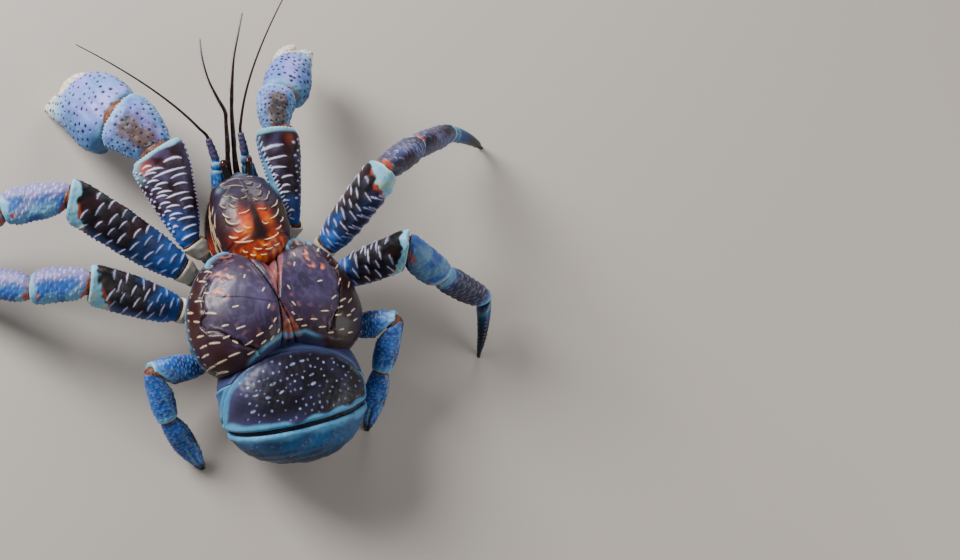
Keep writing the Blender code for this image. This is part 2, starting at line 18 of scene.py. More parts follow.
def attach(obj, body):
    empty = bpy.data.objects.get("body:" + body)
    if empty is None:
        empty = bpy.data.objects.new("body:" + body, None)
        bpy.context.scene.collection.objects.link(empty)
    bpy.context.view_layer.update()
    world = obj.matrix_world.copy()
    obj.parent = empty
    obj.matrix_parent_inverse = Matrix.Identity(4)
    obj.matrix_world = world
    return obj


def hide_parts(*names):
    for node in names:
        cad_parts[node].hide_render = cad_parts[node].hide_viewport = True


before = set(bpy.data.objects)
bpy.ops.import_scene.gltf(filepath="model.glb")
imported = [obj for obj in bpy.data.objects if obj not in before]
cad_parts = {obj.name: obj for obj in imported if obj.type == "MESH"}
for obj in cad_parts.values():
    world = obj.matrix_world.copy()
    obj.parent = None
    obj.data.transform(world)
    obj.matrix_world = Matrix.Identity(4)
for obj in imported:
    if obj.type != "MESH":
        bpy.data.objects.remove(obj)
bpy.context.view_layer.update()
MIDDLE = np.array([-20.0, 48.0, 0.0])
MM = 0.001
print("nodes in the frame:", len(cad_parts))

# %% [markdown]
# The camera looks down on the back from the animal's left and a little from behind. Its place,
# its aim and its upward way are given on the crab's own axes; a turn built from three vectors is
# plain to read and needs no constraint.

# %% The camera
EYE = np.array([-306.5, -264.1, 1213.9])
AIM = np.array([128.2, -21.2, 99.4])
UP_IN_PICTURE = Vector((0.1918, 0.9407, 0.2798))


def to_frame(p):
    """Crab millimetres to frame metres."""
    return Vector(np.asarray(p, float) * MM - MIDDLE * MM)


camera = bpy.data.objects.new("camera", bpy.data.cameras.new("camera"))
bpy.context.scene.collection.objects.link(camera)
camera.data.lens = 70
camera.data.sensor_width = 36
camera.data.clip_end = 10
back = Vector(EYE - AIM).normalized()
right = UP_IN_PICTURE.cross(back).normalized()
turn = Matrix((right, back.cross(right), back)).transposed().to_4x4()
turn.translation = to_frame(EYE)
camera.matrix_world = turn
bpy.context.scene.camera = camera
print("camera to aim, mm:", round(float(np.linalg.norm(EYE - AIM))))

# %% [markdown]
# Soft studio light: a pale world, a high key lamp, a weak fill and a low rim lamp. A large area
# lamp gives wet shell broad highlights, where a sun would make hard dots.

# %% Light
world = bpy.data.worlds.new("soft_room")
bpy.context.scene.world = world
world.use_nodes = True
room = world.node_tree.nodes["Background"].inputs
room["Color"].default_value = (0.92, 0.95, 1.0, 1)
room["Strength"].default_value = 0.23
LAMPS_AIM = (0, 0, 50)


def lamp(name, place, size, power):
    """Square lamp with its side in metres and its power in watts, aimed at the crab."""
    light = bpy.data.lights.new(name, "AREA")
    light.size = size
    light.energy = power
    obj = bpy.data.objects.new(name, light)
    obj.location = to_frame(place)
    way = to_frame(LAMPS_AIM) - obj.location
    obj.rotation_euler = way.to_track_quat("-Z", "Y").to_euler()
    bpy.context.scene.collection.objects.link(obj)
    print(name, power, "W")


lamp("key_softbox", (-800, 900, 800), 0.6, 47)
lamp("fill_softbox", (900, -500, 500), 0.8, 7)
lamp("rim_softbox", (500, 1000, 300), 0.5, 8)

# %% [markdown]
# The floor is matt grey studio paper, a fifth of a millimetre below the feet. Colours are sRGB
# hex values that one function turns to linear light, and another adds any shader node with its
# settings and links.

# %% Floor
def linear(hexcode):
    """sRGB hex colour to linear RGBA."""
    values = [int(hexcode[i:i + 2], 16) / 255 for i in (1, 3, 5)]
    return [v / 12.92 if v <= 0.04045 else ((v + 0.055) / 1.055) ** 2.4 for v in values] + [1.0]


def add(tree, kind, settings=None, **links):
    """Add a node, set its properties and inputs, and link other nodes' outputs to it."""
    node = tree.nodes.new(kind)
    for key, value in (settings or {}).items():
        setattr(node, key, value)
    for key, value in links.items():
        socket = node.inputs[int(key[1:]) if key[0] == "i" and key[1:].isdigit()
                             else key.replace("_", " ")]
        if isinstance(value, bpy.types.NodeSocket):
            tree.links.new(value, socket)
        else:
            socket.default_value = value
    return node


floor_bm = bmesh.new()
bmesh.ops.create_grid(floor_bm, x_segments=1, y_segments=1, size=3.0)
floor_mesh = bpy.data.meshes.new("floor")
floor_bm.to_mesh(floor_mesh)
floor_bm.free()
floor_mesh.transform(Matrix.Translation((0, 0, -0.0002)))
floor = bpy.data.objects.new("floor", floor_mesh)
bpy.context.scene.collection.objects.link(floor)
# uncoated paper scatters all light, so it gives a calm ground with soft shadows
paper = bpy.data.materials.new("matt_studio_paper")
paper.use_nodes = True
shader = paper.node_tree.nodes["Principled BSDF"]
shader.inputs["Roughness"].default_value = 0.9
shader.inputs["Base Color"].default_value = linear("#a79f97")
floor_mesh.materials.append(paper)
print("floor, metres across:", round(floor.dimensions.x, 1))

# %% [markdown]
# Crab shell is chitin hardened with chalk: glossy, waxy, never one flat colour. Each finish
# starts from a clouded base and is painted over through masks kept on a piece's points, so colour
# and relief always meet. A painted image would stretch where a limb narrows.

# %% Chitin
CLOUDS = 60.0      # noise cells per metre, so the clouds are 17 mm across
PORES = 900.0      # 1.1 mm apart: coarser than real pores, which wouldn't show
CHITIN_IOR = 1.42  # dry chitin has 1.55, and the waxy film on it lowers that


def chitin(name, base, cloud, layers, roughness=0.46, pit=0.25, coat=0.06, pores=PORES):
    """Material with a clouded base and colours laid over it through named masks."""
    mat = bpy.data.materials.new(name)
    mat.use_nodes = True
    tree = mat.node_tree
    body = tree.nodes["Principled BSDF"]
    place = add(tree, "ShaderNodeTexCoord").outputs["Object"]
    broad = add(tree, "ShaderNodeTexNoise", Vector=place, Scale=CLOUDS, Detail=4.0, Roughness=0.6)
    fine = add(tree, "ShaderNodeTexNoise", Vector=place, Scale=pores, Detail=2.0)
    ramp = add(tree, "ShaderNodeMapRange", Value=broad.outputs["Fac"], i1=0.36, i2=0.66)
    mix = add(tree, "ShaderNodeMix", {"data_type": "RGBA"}, i0=ramp.outputs[0],
              i6=linear(base), i7=linear(cloud))
    colour = mix.outputs[2]
    for mask, tone, other in layers:
        shade = add(tree, "ShaderNodeMix", {"data_type": "RGBA"}, i0=broad.outputs["Fac"],
                    i6=linear(tone), i7=linear(other))
        reader = add(tree, "ShaderNodeAttribute", {"attribute_name": mask})
        over = add(tree, "ShaderNodeMix", {"data_type": "RGBA"}, i0=reader.outputs["Fac"],
                   i6=colour, i7=shade.outputs[2])
        colour = over.outputs[2]
    tree.links.new(colour, body.inputs["Base Color"])
    wear = add(tree, "ShaderNodeMapRange", Value=fine.outputs["Fac"], i1=0.3, i2=0.7,
               i3=roughness - 0.07, i4=roughness + 0.10)
    tree.links.new(wear.outputs[0], body.inputs["Roughness"])
    bump = add(tree, "ShaderNodeBump", Height=fine.outputs["Fac"], Strength=pit, Distance=0.0003)
    tree.links.new(bump.outputs[0], body.inputs["Normal"])
    body.inputs["IOR"].default_value = CHITIN_IOR
    body.inputs["Specular IOR Level"].default_value = 0.34
    body.inputs["Coat Weight"].default_value = coat
    body.inputs["Coat Roughness"].default_value = 0.22
    return mat


# %% [markdown]
# The blue form wears a dozen shades of the same shell, so each part of the body has its finish.
# It lists its masks from the lowest layer up, with two tones for each; the numbers after them are
# roughness, depth of the pores and weight of the waxy coat.

# %% The finishes
RIDGE = ("ridge", "#d6d3ea", "#9f9fc9")
BLUE = ("blue", "#2a64b2", "#18468c")
PALE = ("pale", "#86bdd0", "#5799b6")
SKIN = ("skin", "#a97a55", "#6e3a22")
RUST = ("rust", "#c4501c", "#8a2a12")
TIP = ("tip", "#173039", "#0b171d")

shell = {
    # waxy plate, grey-purple in front and rust behind, with cream crescents and lines
    "head": chitin("chitin_head_shield", "#352d42", "#1d1625",
                   [("brown", "#2e1215", "#1b0b0e"), ("rust", "#bb3f0a", "#7f1f07"),
                    ("amber", "#dd7a14", "#b54a0b"), ("dark", "#2a0c0f", "#120608"),
                    ("pale", "#78acc8", "#5a8ba8"), ("line", "#e6d0ab", "#c49a6c")],
                   0.40, 0.14, 0.08),
    # slate lobes with maroon margins, dark grooves, raised cream dashes and painted shade (hollow)
    "back": chitin("chitin_gill_covers", "#3a304a", "#282139",
                   [("vein", "#7c739b", "#5d5680"), ("brown", "#3a1917", "#211010"),
                    ("pink", "#8d4f4c", "#63343a"),
                    ("hollow", "#180d14", "#0f080d"), ("groove", "#0b070a", "#060405"),
                    ("orange", "#dd8256", "#b44c24"), ("crescent", "#3b3c5e", "#2a2b49"),
                    ("pale", "#6ba9c8", "#477fa2"),
                    ("line", "#e9d7bb", "#c6a684")], 0.38, 0.12, 0.08),
    # near black, smooth and glossy, so that the pale dots stand out
    "tail_dark": chitin("chitin_tail_dotted", "#150f1b", "#0c0910",
                        [("lilac", "#454268", "#2d2b50"), ("pale", "#4a89ad", "#356f94"),
                         ("line", "#a9b3da", "#7480b2")], 0.42, 0.12, 0.08),
    # glossy blue that pales at the plates' rims and darkens towards the belly
    "tail_blue": chitin("chitin_tail_blue", "#1f5a8c", "#153e66",
                        [("dark", "#16242e", "#0f181f"), ("pale", "#5a9bbf", "#3d7ba2"),
                         ("lilac", "#43446c", "#2f3156"), ("line", "#94b0cc", "#6a8ab0")],
                        0.44, 0.16, 0.07),
    # near black under white-crested ridges, blue and pale blue at the ends
    "leg": chitin("chitin_walking_leg", "#0a080e", "#040306",
                  [("maroon", "#2c1015", "#17080c"), ("lilac", "#7a75ac", "#58538a"), BLUE,
                   PALE, ("cream", "#bfc6aa", "#96ab98"), RUST, SKIN, TIP, RIDGE],
                  0.46, 0.2, 0.06),
    # strong blue with a rusty line at the wrist and black tips
    "small": chitin("chitin_small_leg", "#145cb2", "#0f4488",
                    [("dark", "#122038", "#0c1526"), PALE, RUST, SKIN, TIP, RIDGE], 0.46, 0.25),
    # maroon under long white ridges, with a pale blue rim
    "arm": chitin("chitin_claw_arm", "#2f151d", "#160b12",
                  [("lilac", "#5d5078", "#43395c"), BLUE, PALE, RUST, SKIN, RIDGE],
                  0.45, 0.2, 0.06),
    # lavender-blue, satin, with dark pits and an off-white finger; its low layer is painted shade
    "claw": chitin("chitin_claw_palm", "#8381d2", "#6264b8",
                   [("brown", "#66504a", "#3d2d2c"), ("low", "#3f4f80", "#2b3e68"),
                    ("blue", "#4f90c0", "#3b74a8"), PALE, SKIN, ("white", "#e8dcc6", "#cdb694"),
                    ("pit", "#10121f", "#090a13"), RIDGE], 0.47, 0.22, 0.05),
    # thin dark brown rods on blue bases
    "feeler": chitin("chitin_feeler", "#2f150d", "#190b08",
                     [("blue", "#1f62a8", "#174a80"), ("pale", "#8fb4c8", "#6a98b2"),
                      ("grey", "#4d4866", "#2d2a42")], 0.42, 0.1),
    # dull wrinkled skin like tanned leather, with no coat
    "belly": chitin("tanned_belly_skin", "#2d2636", "#1d1824",
                    [("pale", "#625d70", "#4a4656")], 0.6, 0.5, 0.0, 420.0),
    # chalky blue-grey shell, darker in its furrows
    "chest": chitin("chitin_chest", "#ddd4bd", "#bcb49f",
                    [("blue", "#4d86b0", "#35669a"), ("dark", "#2a2229", "#1a151b"),
                     ("cream", "#f3ebdc", "#dccfb6"), SKIN],
                    0.5, 0.3, 0.05),
    # blue-brown jointed mouth limbs
    "mouth": chitin("chitin_mouth_limbs", "#8296ae", "#5c7190",
                    [("blue", "#27609c", "#1b4678"), SKIN, ("dark", "#27171a", "#180e10"),
                     RIDGE], 0.45, 0.25, 0.06),
    # dry brown skin between the articles, rougher than the shell
    "skin": chitin("joint_membrane", "#5a3020", "#361b13",
                   [("pale", "#9c6240", "#74482e")], 0.55, 0.4, 0.05, 600.0),
    # wet smooth cornea, the crab's only mirror-like spot; its dark red cap is partly painted glint
    "eye": chitin("eye_cornea", "#230c0e", "#120607",
                  [("red_cornea_and_glint", "#43100f", "#240809"), ("dark", "#0e0607", "#080404")],
                  0.16, 0.02, 0.6),
    # stiff horny hairs, dark at the root and paler at the tip
    "bristle": chitin("stiff_dark_bristle", "#1d1512", "#0e0a09",
                      [("tip", "#56402e", "#38281e")], 0.5, 0.0, 0.0),
}
print("finishes:", len(shell))

# %% [markdown]
# Two surfaces are enough for the whole animal: a limb is a sheet of cells rolled into a tube, and
# a body plate is a ball pushed out to its form. Each keeps on its points how far along and around
# they lie, in millimetres. Sculpting could give the same look, but here a ridge moves by changing
# one number, and its colour moves with it.

# %% Numbers kept on points, and finished pieces
made = {}


def put(mesh, key, values):
    """Keep a number for each point on the mesh, under a name."""
    if key in mesh.attributes:
        mesh.attributes.remove(mesh.attributes[key])
    layer = mesh.attributes.new(key, "FLOAT", "POINT")
    layer.data.foreach_set("value", np.broadcast_to(values, len(mesh.vertices)).astype(np.float32))


def read(mesh, *names):
    """The numbers kept under one name, or a list of them for several names."""
    found = []
    for name in names:
        values = np.empty(len(mesh.vertices), np.float32)
        mesh.attributes[name].data.foreach_get("value", values)
        found.append(values.astype(float))
    return found if len(names) > 1 else found[0]


def coords(mesh):
    values = np.empty(len(mesh.vertices) * 3)
    mesh.vertices.foreach_get("co", values)
    return values.reshape(-1, 3)


def normals(mesh):
    values = np.empty(len(mesh.vertices) * 3, np.float32)
    mesh.vertex_normals.foreach_get("vector", values)
    return values.reshape(-1, 3).astype(float)


def finish_piece(name, points, mesh, masks, mat, nodes, smooth=True):
    """Put shaped points and masks on a mesh and hang the piece on the frame."""
    mesh.vertices.foreach_set("co", (np.asarray(points) * MM - MIDDLE * MM).ravel())
    for key, values in masks.items():
        put(mesh, key, np.clip(values, 0, 1))
    mesh.polygons.foreach_set("use_smooth", [smooth] * len(mesh.polygons))
    mesh.materials.append(mat)
    mesh.update()
    obj = bpy.data.objects.new(name, mesh)
    bpy.context.scene.collection.objects.link(obj)
    if nodes:
        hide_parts(*nodes)
    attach(obj, "root")
    made[name] = len(mesh.polygons)


# %% [markdown]
# Four small functions give every form its softness. Blender's curves could hold such profiles
# too, but a table can be read for all points at once.

# %% Smooth profiles
def table(rows, t):
    """Rows of (t, values...) read at many t, smooth between the rows."""
    rows = np.array(rows, float)
    knots = rows[:, 0]
    t = np.clip(t, knots[0], knots[-1])
    slopes = np.gradient(rows[:, 1:], knots, axis=0)
    k = np.clip(np.searchsorted(knots, t, side="right") - 1, 0, len(knots) - 2)
    h = knots[k + 1] - knots[k]
    f = (t - knots[k]) / h
    f, h = f[:, None], h[:, None]
    a, b = rows[k, 1:], rows[k + 1, 1:]
    return (a * (2 * f**3 - 3 * f**2 + 1) + slopes[k] * h * (f**3 - 2 * f**2 + f)
            + b * (-2 * f**3 + 3 * f**2) + slopes[k + 1] * h * (f**3 - f**2))


def unit(v):
    v = np.asarray(v, float)
    return v / np.linalg.norm(v)


def step(x, a, b):
    """Smooth 0 to 1 as x goes from a to b."""
    t = np.clip((x - a) / (b - a), 0, 1)
    return t * t * (3 - 2 * t)


def bell(x, width):
    return np.exp(-(x / width) ** 2)

# %% [markdown]
# A leg article is a hollow tube with a flattened section, closed at both ends and cut on the
# slant where the limb bends. Rings could be lofted, but a flat grid that is rolled up gives
# points that know their place along and around.

# %% A tube with its own measure
WELD = 0.004        # mm; only points of the seam and of the closed ends lie so near
LID = 5             # rows of cells that close each end
MITRE_ZONE = 16.0   # mm over which an end follows its slanting cut
MITRE_REACH = 14.0  # the most mm that a point is drawn out to that cut
FIELDS = ("along", "around", "girth", "near", "rim", "side", "face")


def wrapped_sheet(columns, rows):
    """Grid mesh whose points carry u and v from 0 to 1, ready to be wrapped."""
    bm = bmesh.new()
    bmesh.ops.create_grid(bm, x_segments=columns, y_segments=rows, size=1.0)
    mesh = bpy.data.meshes.new("sheet")
    bm.to_mesh(mesh)
    bm.free()
    flat = coords(mesh)
    return mesh, (flat[:, 0] + 1) / 2, (flat[:, 1] + 1) / 2


def close_up(mesh, points, fields):
    """Weld the seam and the ends of a wrapped sheet; keep the fields on its points."""
    mesh.vertices.foreach_set("co", points.ravel())
    for key, values in fields.items():
        put(mesh, key, values)
    bm = bmesh.new()
    bm.from_mesh(mesh)
    bmesh.ops.remove_doubles(bm, verts=bm.verts, dist=WELD)
    bmesh.ops.dissolve_degenerate(bm, edges=bm.edges, dist=WELD / 2)
    bmesh.ops.recalc_face_normals(bm, faces=bm.faces)
    bm.to_mesh(mesh)
    bm.free()
    mesh.update()


def arc_lengths(points, u, v, rows, columns):
    """Millimetres around from the outward face, half the girth, from the start, to the end."""
    order = np.lexsort((u, np.round(v * 1e5)))
    grid = points[order].reshape(rows + 2 * LID + 1, columns + 1, 3)
    edge = np.linalg.norm(np.diff(grid, axis=1), axis=2)
    arc = np.concatenate([np.zeros((len(edge), 1)), np.cumsum(edge, axis=1)], axis=1)
    half = arc[:, -1:] / 2
    edge = np.linalg.norm(np.diff(grid, axis=0), axis=2)
    run = np.concatenate([np.zeros((1, columns + 1)), np.cumsum(edge, axis=0)], axis=0)
    run = run - run[LID:LID + 1]
    total = run[LID + rows:LID + rows + 1]
    found = {"around": arc - half, "girth": np.repeat(half, columns + 1, axis=1),
             "near": run, "rim": total - run}
    back_in_order = np.empty(len(points), int)
    back_in_order[order] = np.arange(len(points))
    return {key: values.ravel()[back_in_order] for key, values in found.items()}


def tube(centre, across, out, wide, thick, length, spacing=0.55, power=2.3,
         start_plane=None, end_plane=None, knee=9.0):
    """Closed limb surface. centre, across, out, wide, thick are functions of t in 0-1.

    The planes are (point, normal) in millimetres where the ends are cut square to a bend.
    The mesh keeps the FIELDS; side and face run from -1 to 1 across and outward.
    """
    probe = np.linspace(0, 1, 9)
    girth = max(2 * math.pi * math.sqrt(((wide(probe) ** 2 + thick(probe) ** 2) / 2).max()), 6)
    columns = int(np.clip(girth / spacing, 14, 420))
    rows = int(np.clip(length / spacing, 10, 420))
    mesh, u, v = wrapped_sheet(columns, rows + 2 * LID)
    level = v * (rows + 2 * LID)
    t = np.clip((level - LID) / rows, 0, 1)
    opened = 1 - np.maximum(np.clip(1 - level / LID, 0, 1),
                            np.clip((level - LID - rows) / LID, 0, 1))
    angle = (u + 0.5) * 2 * math.pi     # so the middle of the sheet looks outward
    bulge = lambda value: np.sign(value) * np.abs(value) ** (2 / power)
    side = bulge(-np.sin(angle)) * wide(t)
    face = bulge(np.cos(angle)) * thick(t)
    offset = across(t) * (side * opened)[:, None] + out(t) * (face * opened)[:, None]
    points = centre(t) + offset
    along = t * length
    if start_plane is not None:
        spot, normal = start_plane
        axis = unit(centre(np.array([0.02])) - centre(np.array([0.0])))[0]
        gap = ((spot - points) @ normal) / (axis @ normal)
        reach = np.clip(gap + along, -knee, MITRE_REACH)
        points = points + axis * (reach * (1 - step(along, 0, MITRE_ZONE)))[:, None]
    if end_plane is not None:
        spot, normal = end_plane
        axis = unit(centre(np.array([1.0])) - centre(np.array([0.98])))[0]
        gap = ((spot - points) @ normal) / (axis @ normal)
        reach = np.clip(gap - (length - along), -MITRE_REACH, knee)
        points = points + axis * (reach * step(along, length - MITRE_ZONE, length))[:, None]
    close_up(mesh, points, {"along": along, **arc_lengths(points, u, v, rows, columns),
                            "side": side / np.maximum(wide(t), 0.1),
                            "face": face / np.maximum(thick(t), 0.1)})
    return mesh


# %% [markdown]
# Living shell is never even. A sum of waves gives the unevenness, and strokes, pits and teeth are
# placed one by one with seeded random numbers, so each run gives the same crab. A texture would
# give them no height in the mesh.

# %% Swells, strokes, pits and rows of spots
rng = np.random.default_rng(7)


def rough(p, size, seed=0):
    """Irregular swell from about -1 to 1 with humps some size millimetres across."""
    rng = np.random.default_rng(seed)
    total = np.zeros(len(p))
    for _ in range(8):
        way = rng.normal(size=3)
        way *= math.pi / size * rng.uniform(0.7, 1.5) / np.linalg.norm(way)
        total += np.sin(p @ way + rng.uniform(0, 2 * math.pi))
    return total / 2.6


def strokes(x, a, spots, width, swell=0.0, bow=0.0):
    """Short tapering strokes on a surface: spots are rows of (x, a, half length, tilt).

    Gives the pale crest (0-1) and the swelling that rises towards it from behind.
    """
    crest = np.zeros(len(x))
    rise = np.zeros(len(x))
    for sx, sa, half, tilt in spots:
        near = (np.abs(x - sx) < half + 5) & (np.abs(a - sa) < half + 5)
        if not near.any():
            continue
        dx, da = x[near] - sx, a[near] - sa
        c, s = math.cos(tilt), math.sin(tilt)
        q = (dx * s + da * c) / (half + 0.3)
        p = dx * c - da * s + bow * q ** 2
        taper = width * np.sqrt(np.clip(1 - q ** 2, 0, 1)) + 0.02
        stroke = (1 - step(np.abs(p) / taper, 0.45, 1.0)) * (np.abs(q) < 1)
        crest[near] = np.maximum(crest[near], stroke)
        if swell:
            back = np.where(p < 0, np.exp(p / swell), np.exp(-p / (width * 0.7)))
            fade = np.exp(-np.maximum(np.abs(q) - 0.55, 0) ** 2 / 0.12)
            rise[near] = np.maximum(rise[near], back * fade)
    return crest, rise


def pits(x, a, spots, radius=0.75):
    """Mask of round pits of uneven size at the spots."""
    dot = np.zeros(len(x))
    for sx, sa in spots:
        near = (np.abs(x - sx) < 3) & (np.abs(a - sa) < 3)
        d = np.hypot((x[near] - sx) * 1.35, a[near] - sa)
        reach = radius * (0.85 + 0.28 * math.sin(3.1 * sx + 1.7 * sa))
        dot[near] = np.maximum(dot[near], 1 - step(d, reach * 0.5, reach))
    return dot


def scatter(length, half, start, stop, gap, piece, jitter=0.5, tilt=0.0, edge=1.0):
    """Staggered rows of strokes over a band of the limb."""
    spots = []
    x, row = start, 0
    while x < stop:
        width = half(x / length) * edge
        count = max(int(round(2 * width / (piece * 1.55))), 1)
        for k in range(count):
            a = (k + (0.75 if row % 2 else 0.25)) / count * 2 * width - width
            spots.append((x + rng.uniform(-jitter, jitter) + 0.07 * a, a + rng.uniform(-0.6, 0.6),
                          piece * rng.uniform(0.32, 0.55), tilt + rng.uniform(-0.12, 0.12)))
        x += gap * rng.uniform(0.85, 1.15)
        row += 1
    return spots


def sown(start, stop, half, gap):
    """Slanted staggered rows of points over a band that reaches half to either side."""
    spots = []
    x, row = start, 0
    while x < stop:
        a = -half + (row % 2) * gap / 2
        while a < half:
            spots.append((x + 0.25 * a + rng.uniform(-0.9, 0.9), a + rng.uniform(-0.9, 0.9)))
            a += gap * rng.uniform(0.85, 1.15)
        x += gap * 0.86
        row += 1
    return spots


def tooth_row(half, length, start=4.0, edges=(-1, 1), gap=(2.6, 3.4), shift=1.12):
    """Spots of a row of small spines along the edges of an article."""
    spots = []
    for edge in edges:
        x = start
        while x < length - 3:
            spots.append((x, edge * half(x / length) * shift, 0.5, 0.0))
            x += rng.uniform(*gap)
    return spots


# %% [markdown]
# The limbs repeat the joints and section tables of the frame's own limbs, so the shell lies on
# the solids. A row holds a place along the article from 0 to 1, then half width, half thickness
# and shift across, in millimetres.

# %% Limb tables
MERUS = [(0.0, 8.8, 7.4, 0), (0.15, 11.2, 8.6, 0), (0.45, 13.3, 9.3, 0.3),
         (0.8, 13.7, 9.4, 0.3), (0.95, 12.9, 8.9, 0), (1.0, 10.8, 8.0, 0)]
CARPUS = [(0.0, 8.4, 7.2, 0), (0.22, 10.6, 8.4, 0.5), (0.6, 11.6, 8.8, 1.0),
          (0.88, 11.0, 8.2, 0.4), (1.0, 8.6, 7.0, 0)]
PROPODUS = [(0.0, 7.4, 6.4, 0), (0.15, 9.4, 7.6, 0), (0.5, 9.8, 7.6, 0.2),
            (0.85, 8.3, 6.6, 0), (1.0, 6.2, 5.4, 0)]
CLAW_MERUS = [(0.0, 7.0, 7.2, 0), (0.2, 11.0, 10.0, 0), (0.55, 16.0, 12.6, 0),
              (0.85, 19.0, 13.4, 0), (0.95, 18.4, 12.8, 0), (1.0, 15.0, 11.0, 0)]
CLAW_CARPUS = [(0.0, 11.5, 9.5, 0), (0.25, 15.5, 12.5, 1.0), (0.65, 19.5, 14.6, 1.0),
               (0.9, 20.0, 14.4, 0), (1.0, 17.0, 12.4, 0)]
PALM = [(0.0, 16.5, 11.5, -1.5), (0.08, 22.5, 14.4, -2.0), (0.22, 25.8, 16.8, -0.8),
        (0.40, 25.0, 17.0, 1.2), (0.54, 21.6, 15.6, 1.8), (0.65, 16.6, 13.2, -0.4),
        (0.75, 11.8, 10.6, -3.0), (0.86, 7.6, 7.6, -5.4), (0.95, 4.0, 4.6, -7.2),
        (1.0, 1.8, 2.4, -8.2)]
FINGER = [(0.0, 8.4, 9.0, 0), (0.2, 9.8, 9.8, 1.4), (0.45, 9.0, 8.6, 1.8),
          (0.75, 6.0, 6.0, 0.4), (1.0, 1.8, 2.2, -3.4)]
SMALL_MERUS = [(0.0, 6.0, 5.5, 0), (0.3, 8.2, 6.6, 0), (0.8, 8.6, 6.8, 0), (1.0, 7.0, 6.0, 0)]
SMALL_CARPUS = [(0.0, 6.2, 5.6, 0), (0.35, 7.8, 6.4, 0), (0.8, 7.6, 6.2, 0), (1.0, 6.2, 5.4, 0)]
SMALL_HAND = [(0.0, 5.6, 5.0, 0), (0.25, 7.6, 6.2, 0), (0.6, 6.8, 5.4, 0.3),
              (0.8, 4.6, 3.9, 0), (0.94, 2.6, 2.4, 0), (1.0, 1.5, 1.5, 0)]
TO_CAMERA = unit((-0.24, -0.22, 0.94))
LEGS = {
    "leg2_left": [(-34, 29, 30), (-49, 41, 40), (-113, 94, 66), (-152, 98, 50),
                  (-203, 91, 24), (-236, 66, 0)],
    "leg2_right": [(36, 27, 30), (52, 37, 42), (84, 63, 104), (117, 82, 79),
                   (161, 100, 38), (196, 97, 0)],
    "leg3_left": [(-38, 7, 29), (-57, 15, 36), (-113, 37, 62), (-146, 44, 49),
                  (-185, 66, 24), (-219, 72, 0)],
    "leg3_right": [(38, 9, 29), (55, 14, 38), (90, 12, 90), (115, -5, 66),
                   (154, -20, 30), (150, -52, 0)],
}
FACES = {"leg2_left": TO_CAMERA, "leg2_right": unit((-0.75, 0.35, 0.55)),
         "leg3_left": TO_CAMERA, "leg3_right": unit((-0.35, -0.75, 0.55))}
SMALL_LEGS = {
    "leg4_left": [(-36, -14, 29), (-50, -24, 34), (-84, -26, 47), (-79, -54, 30), (-59, -85, 0)],
    "leg4_right": [(36, -14, 29), (51, -20, 36), (79, -27, 52), (67, -54, 34), (57, -85, 0)],
}
CLAWS = {
    # name: (joints, size, finger side, how slim, lean across, how far the finger gapes)
    "claw_left": ([(-20, 40, 31), (-38, 56, 42), (-49, 117, 58), (-65, 145, 52), (-98, 184, 5)],
                  1.0, 1.0, 1.0, 0.0, 4.5),
    "claw_right": ([(20, 40, 31), (31, 55, 43), (33, 112, 71), (43, 140, 58), (77, 181, 29)],
                   0.84, -1.0, 0.74, 3.4, 16.0),
}
GAP = 0.3
print("limbs:", len(LEGS) + len(SMALL_LEGS) + len(CLAWS))

# %% [markdown]
# An article ends in a rounded rim, the next starts with a narrower neck, and brown skin closes
# the bend. Both are cut on the plane that halves the bend, like the corner of a picture frame,
# and the skin is a flattened ball with fine folds, half hidden inside both.

# %% Articles and their joints
def mitre(a, b, c):
    """Plane that halves the bend at b between the directions a-b and b-c."""
    a, b, c = (np.array(p, float) for p in (a, b, c))
    return b, unit(unit(b - a) + unit(c - b))


def bends(joints):
    """Joints of a limb as vectors, and the cuts at its first three bends."""
    j = [np.array(p, float) for p in joints]
    return j, [mitre(*j[k:k + 3]) for k in range(3)]


def half_width(rows, t):
    return table(rows, np.array([t]))[0, 0]


def article_mesh(start, end, face, rows, size, first=None, last=None, spacing=0.55, knee=9.0):
    """Straight article between two joints, on the section table of its solid."""
    start, end = np.array(start, float), np.array(end, float)
    length = np.linalg.norm(end - start)
    axis = (end - start) / length
    across = unit(np.cross(axis, face))
    out = np.cross(across, axis)
    start_plane = (first[0] + first[1] * GAP / 2, first[1]) if first else None
    end_plane = (last[0] - last[1] * GAP / 2, last[1]) if last else None

    def centre(t):
        shift = table(rows, t)[:, 2] * size
        return start + np.outer(t * length, axis) + np.outer(shift, across)

    return tube(centre, lambda t: np.tile(across, (len(t), 1)),
                lambda t: np.tile(out, (len(t), 1)),
                lambda t: table(rows, t)[:, 0] * size, lambda t: table(rows, t)[:, 1] * size,
                length, spacing, 2.3, start_plane, end_plane, knee), length


def shaped(mesh, lift):
    """Points moved along their normals by lift millimetres."""
    return coords(mesh) + normals(mesh) * lift[:, None]


def collar(near, rim, neck=1.0, lip=0.5, reach=2.0):
    """Narrow neck at the start of an article and a rounded lip at its end."""
    return (-neck * bell(np.maximum(near, 0), reach) + lip * bell(rim - 2.0, 1.6)
            - 0.9 * np.exp(-np.maximum(rim, 0) / 0.6))


def joint_skin(limb, j, k, radius, flat=0.8):
    """Folded ball of brown skin that closes joint k of a limb."""
    bm = bmesh.new()
    bmesh.ops.create_uvsphere(bm, u_segments=28, v_segments=18, radius=1.0)
    mesh = bpy.data.meshes.new("skin")
    bm.to_mesh(mesh)
    bm.free()
    ball = coords(mesh)
    axis = unit(j[k + 1] - j[k - 1])
    along = ball @ axis
    folds = np.sin(along * 22)
    points = j[k] + (ball - np.outer(along, axis) * (1 - flat)) * radius
    points = points + ball * (0.04 * folds * radius)[:, None]
    finish_piece(f"{limb}_skin_{k}", points, mesh, {"pale": step(folds, 0.2, 1.0)},
                 shell["skin"], [])


# %% [markdown]
# Stiff bristles grow from the pits and the edges, a few to a tuft. Hair particles would be lost
# in the export, so each bristle is a thin solid cone of four faces, copied with numpy to every
# root, and each piece of them has a place map of its own.

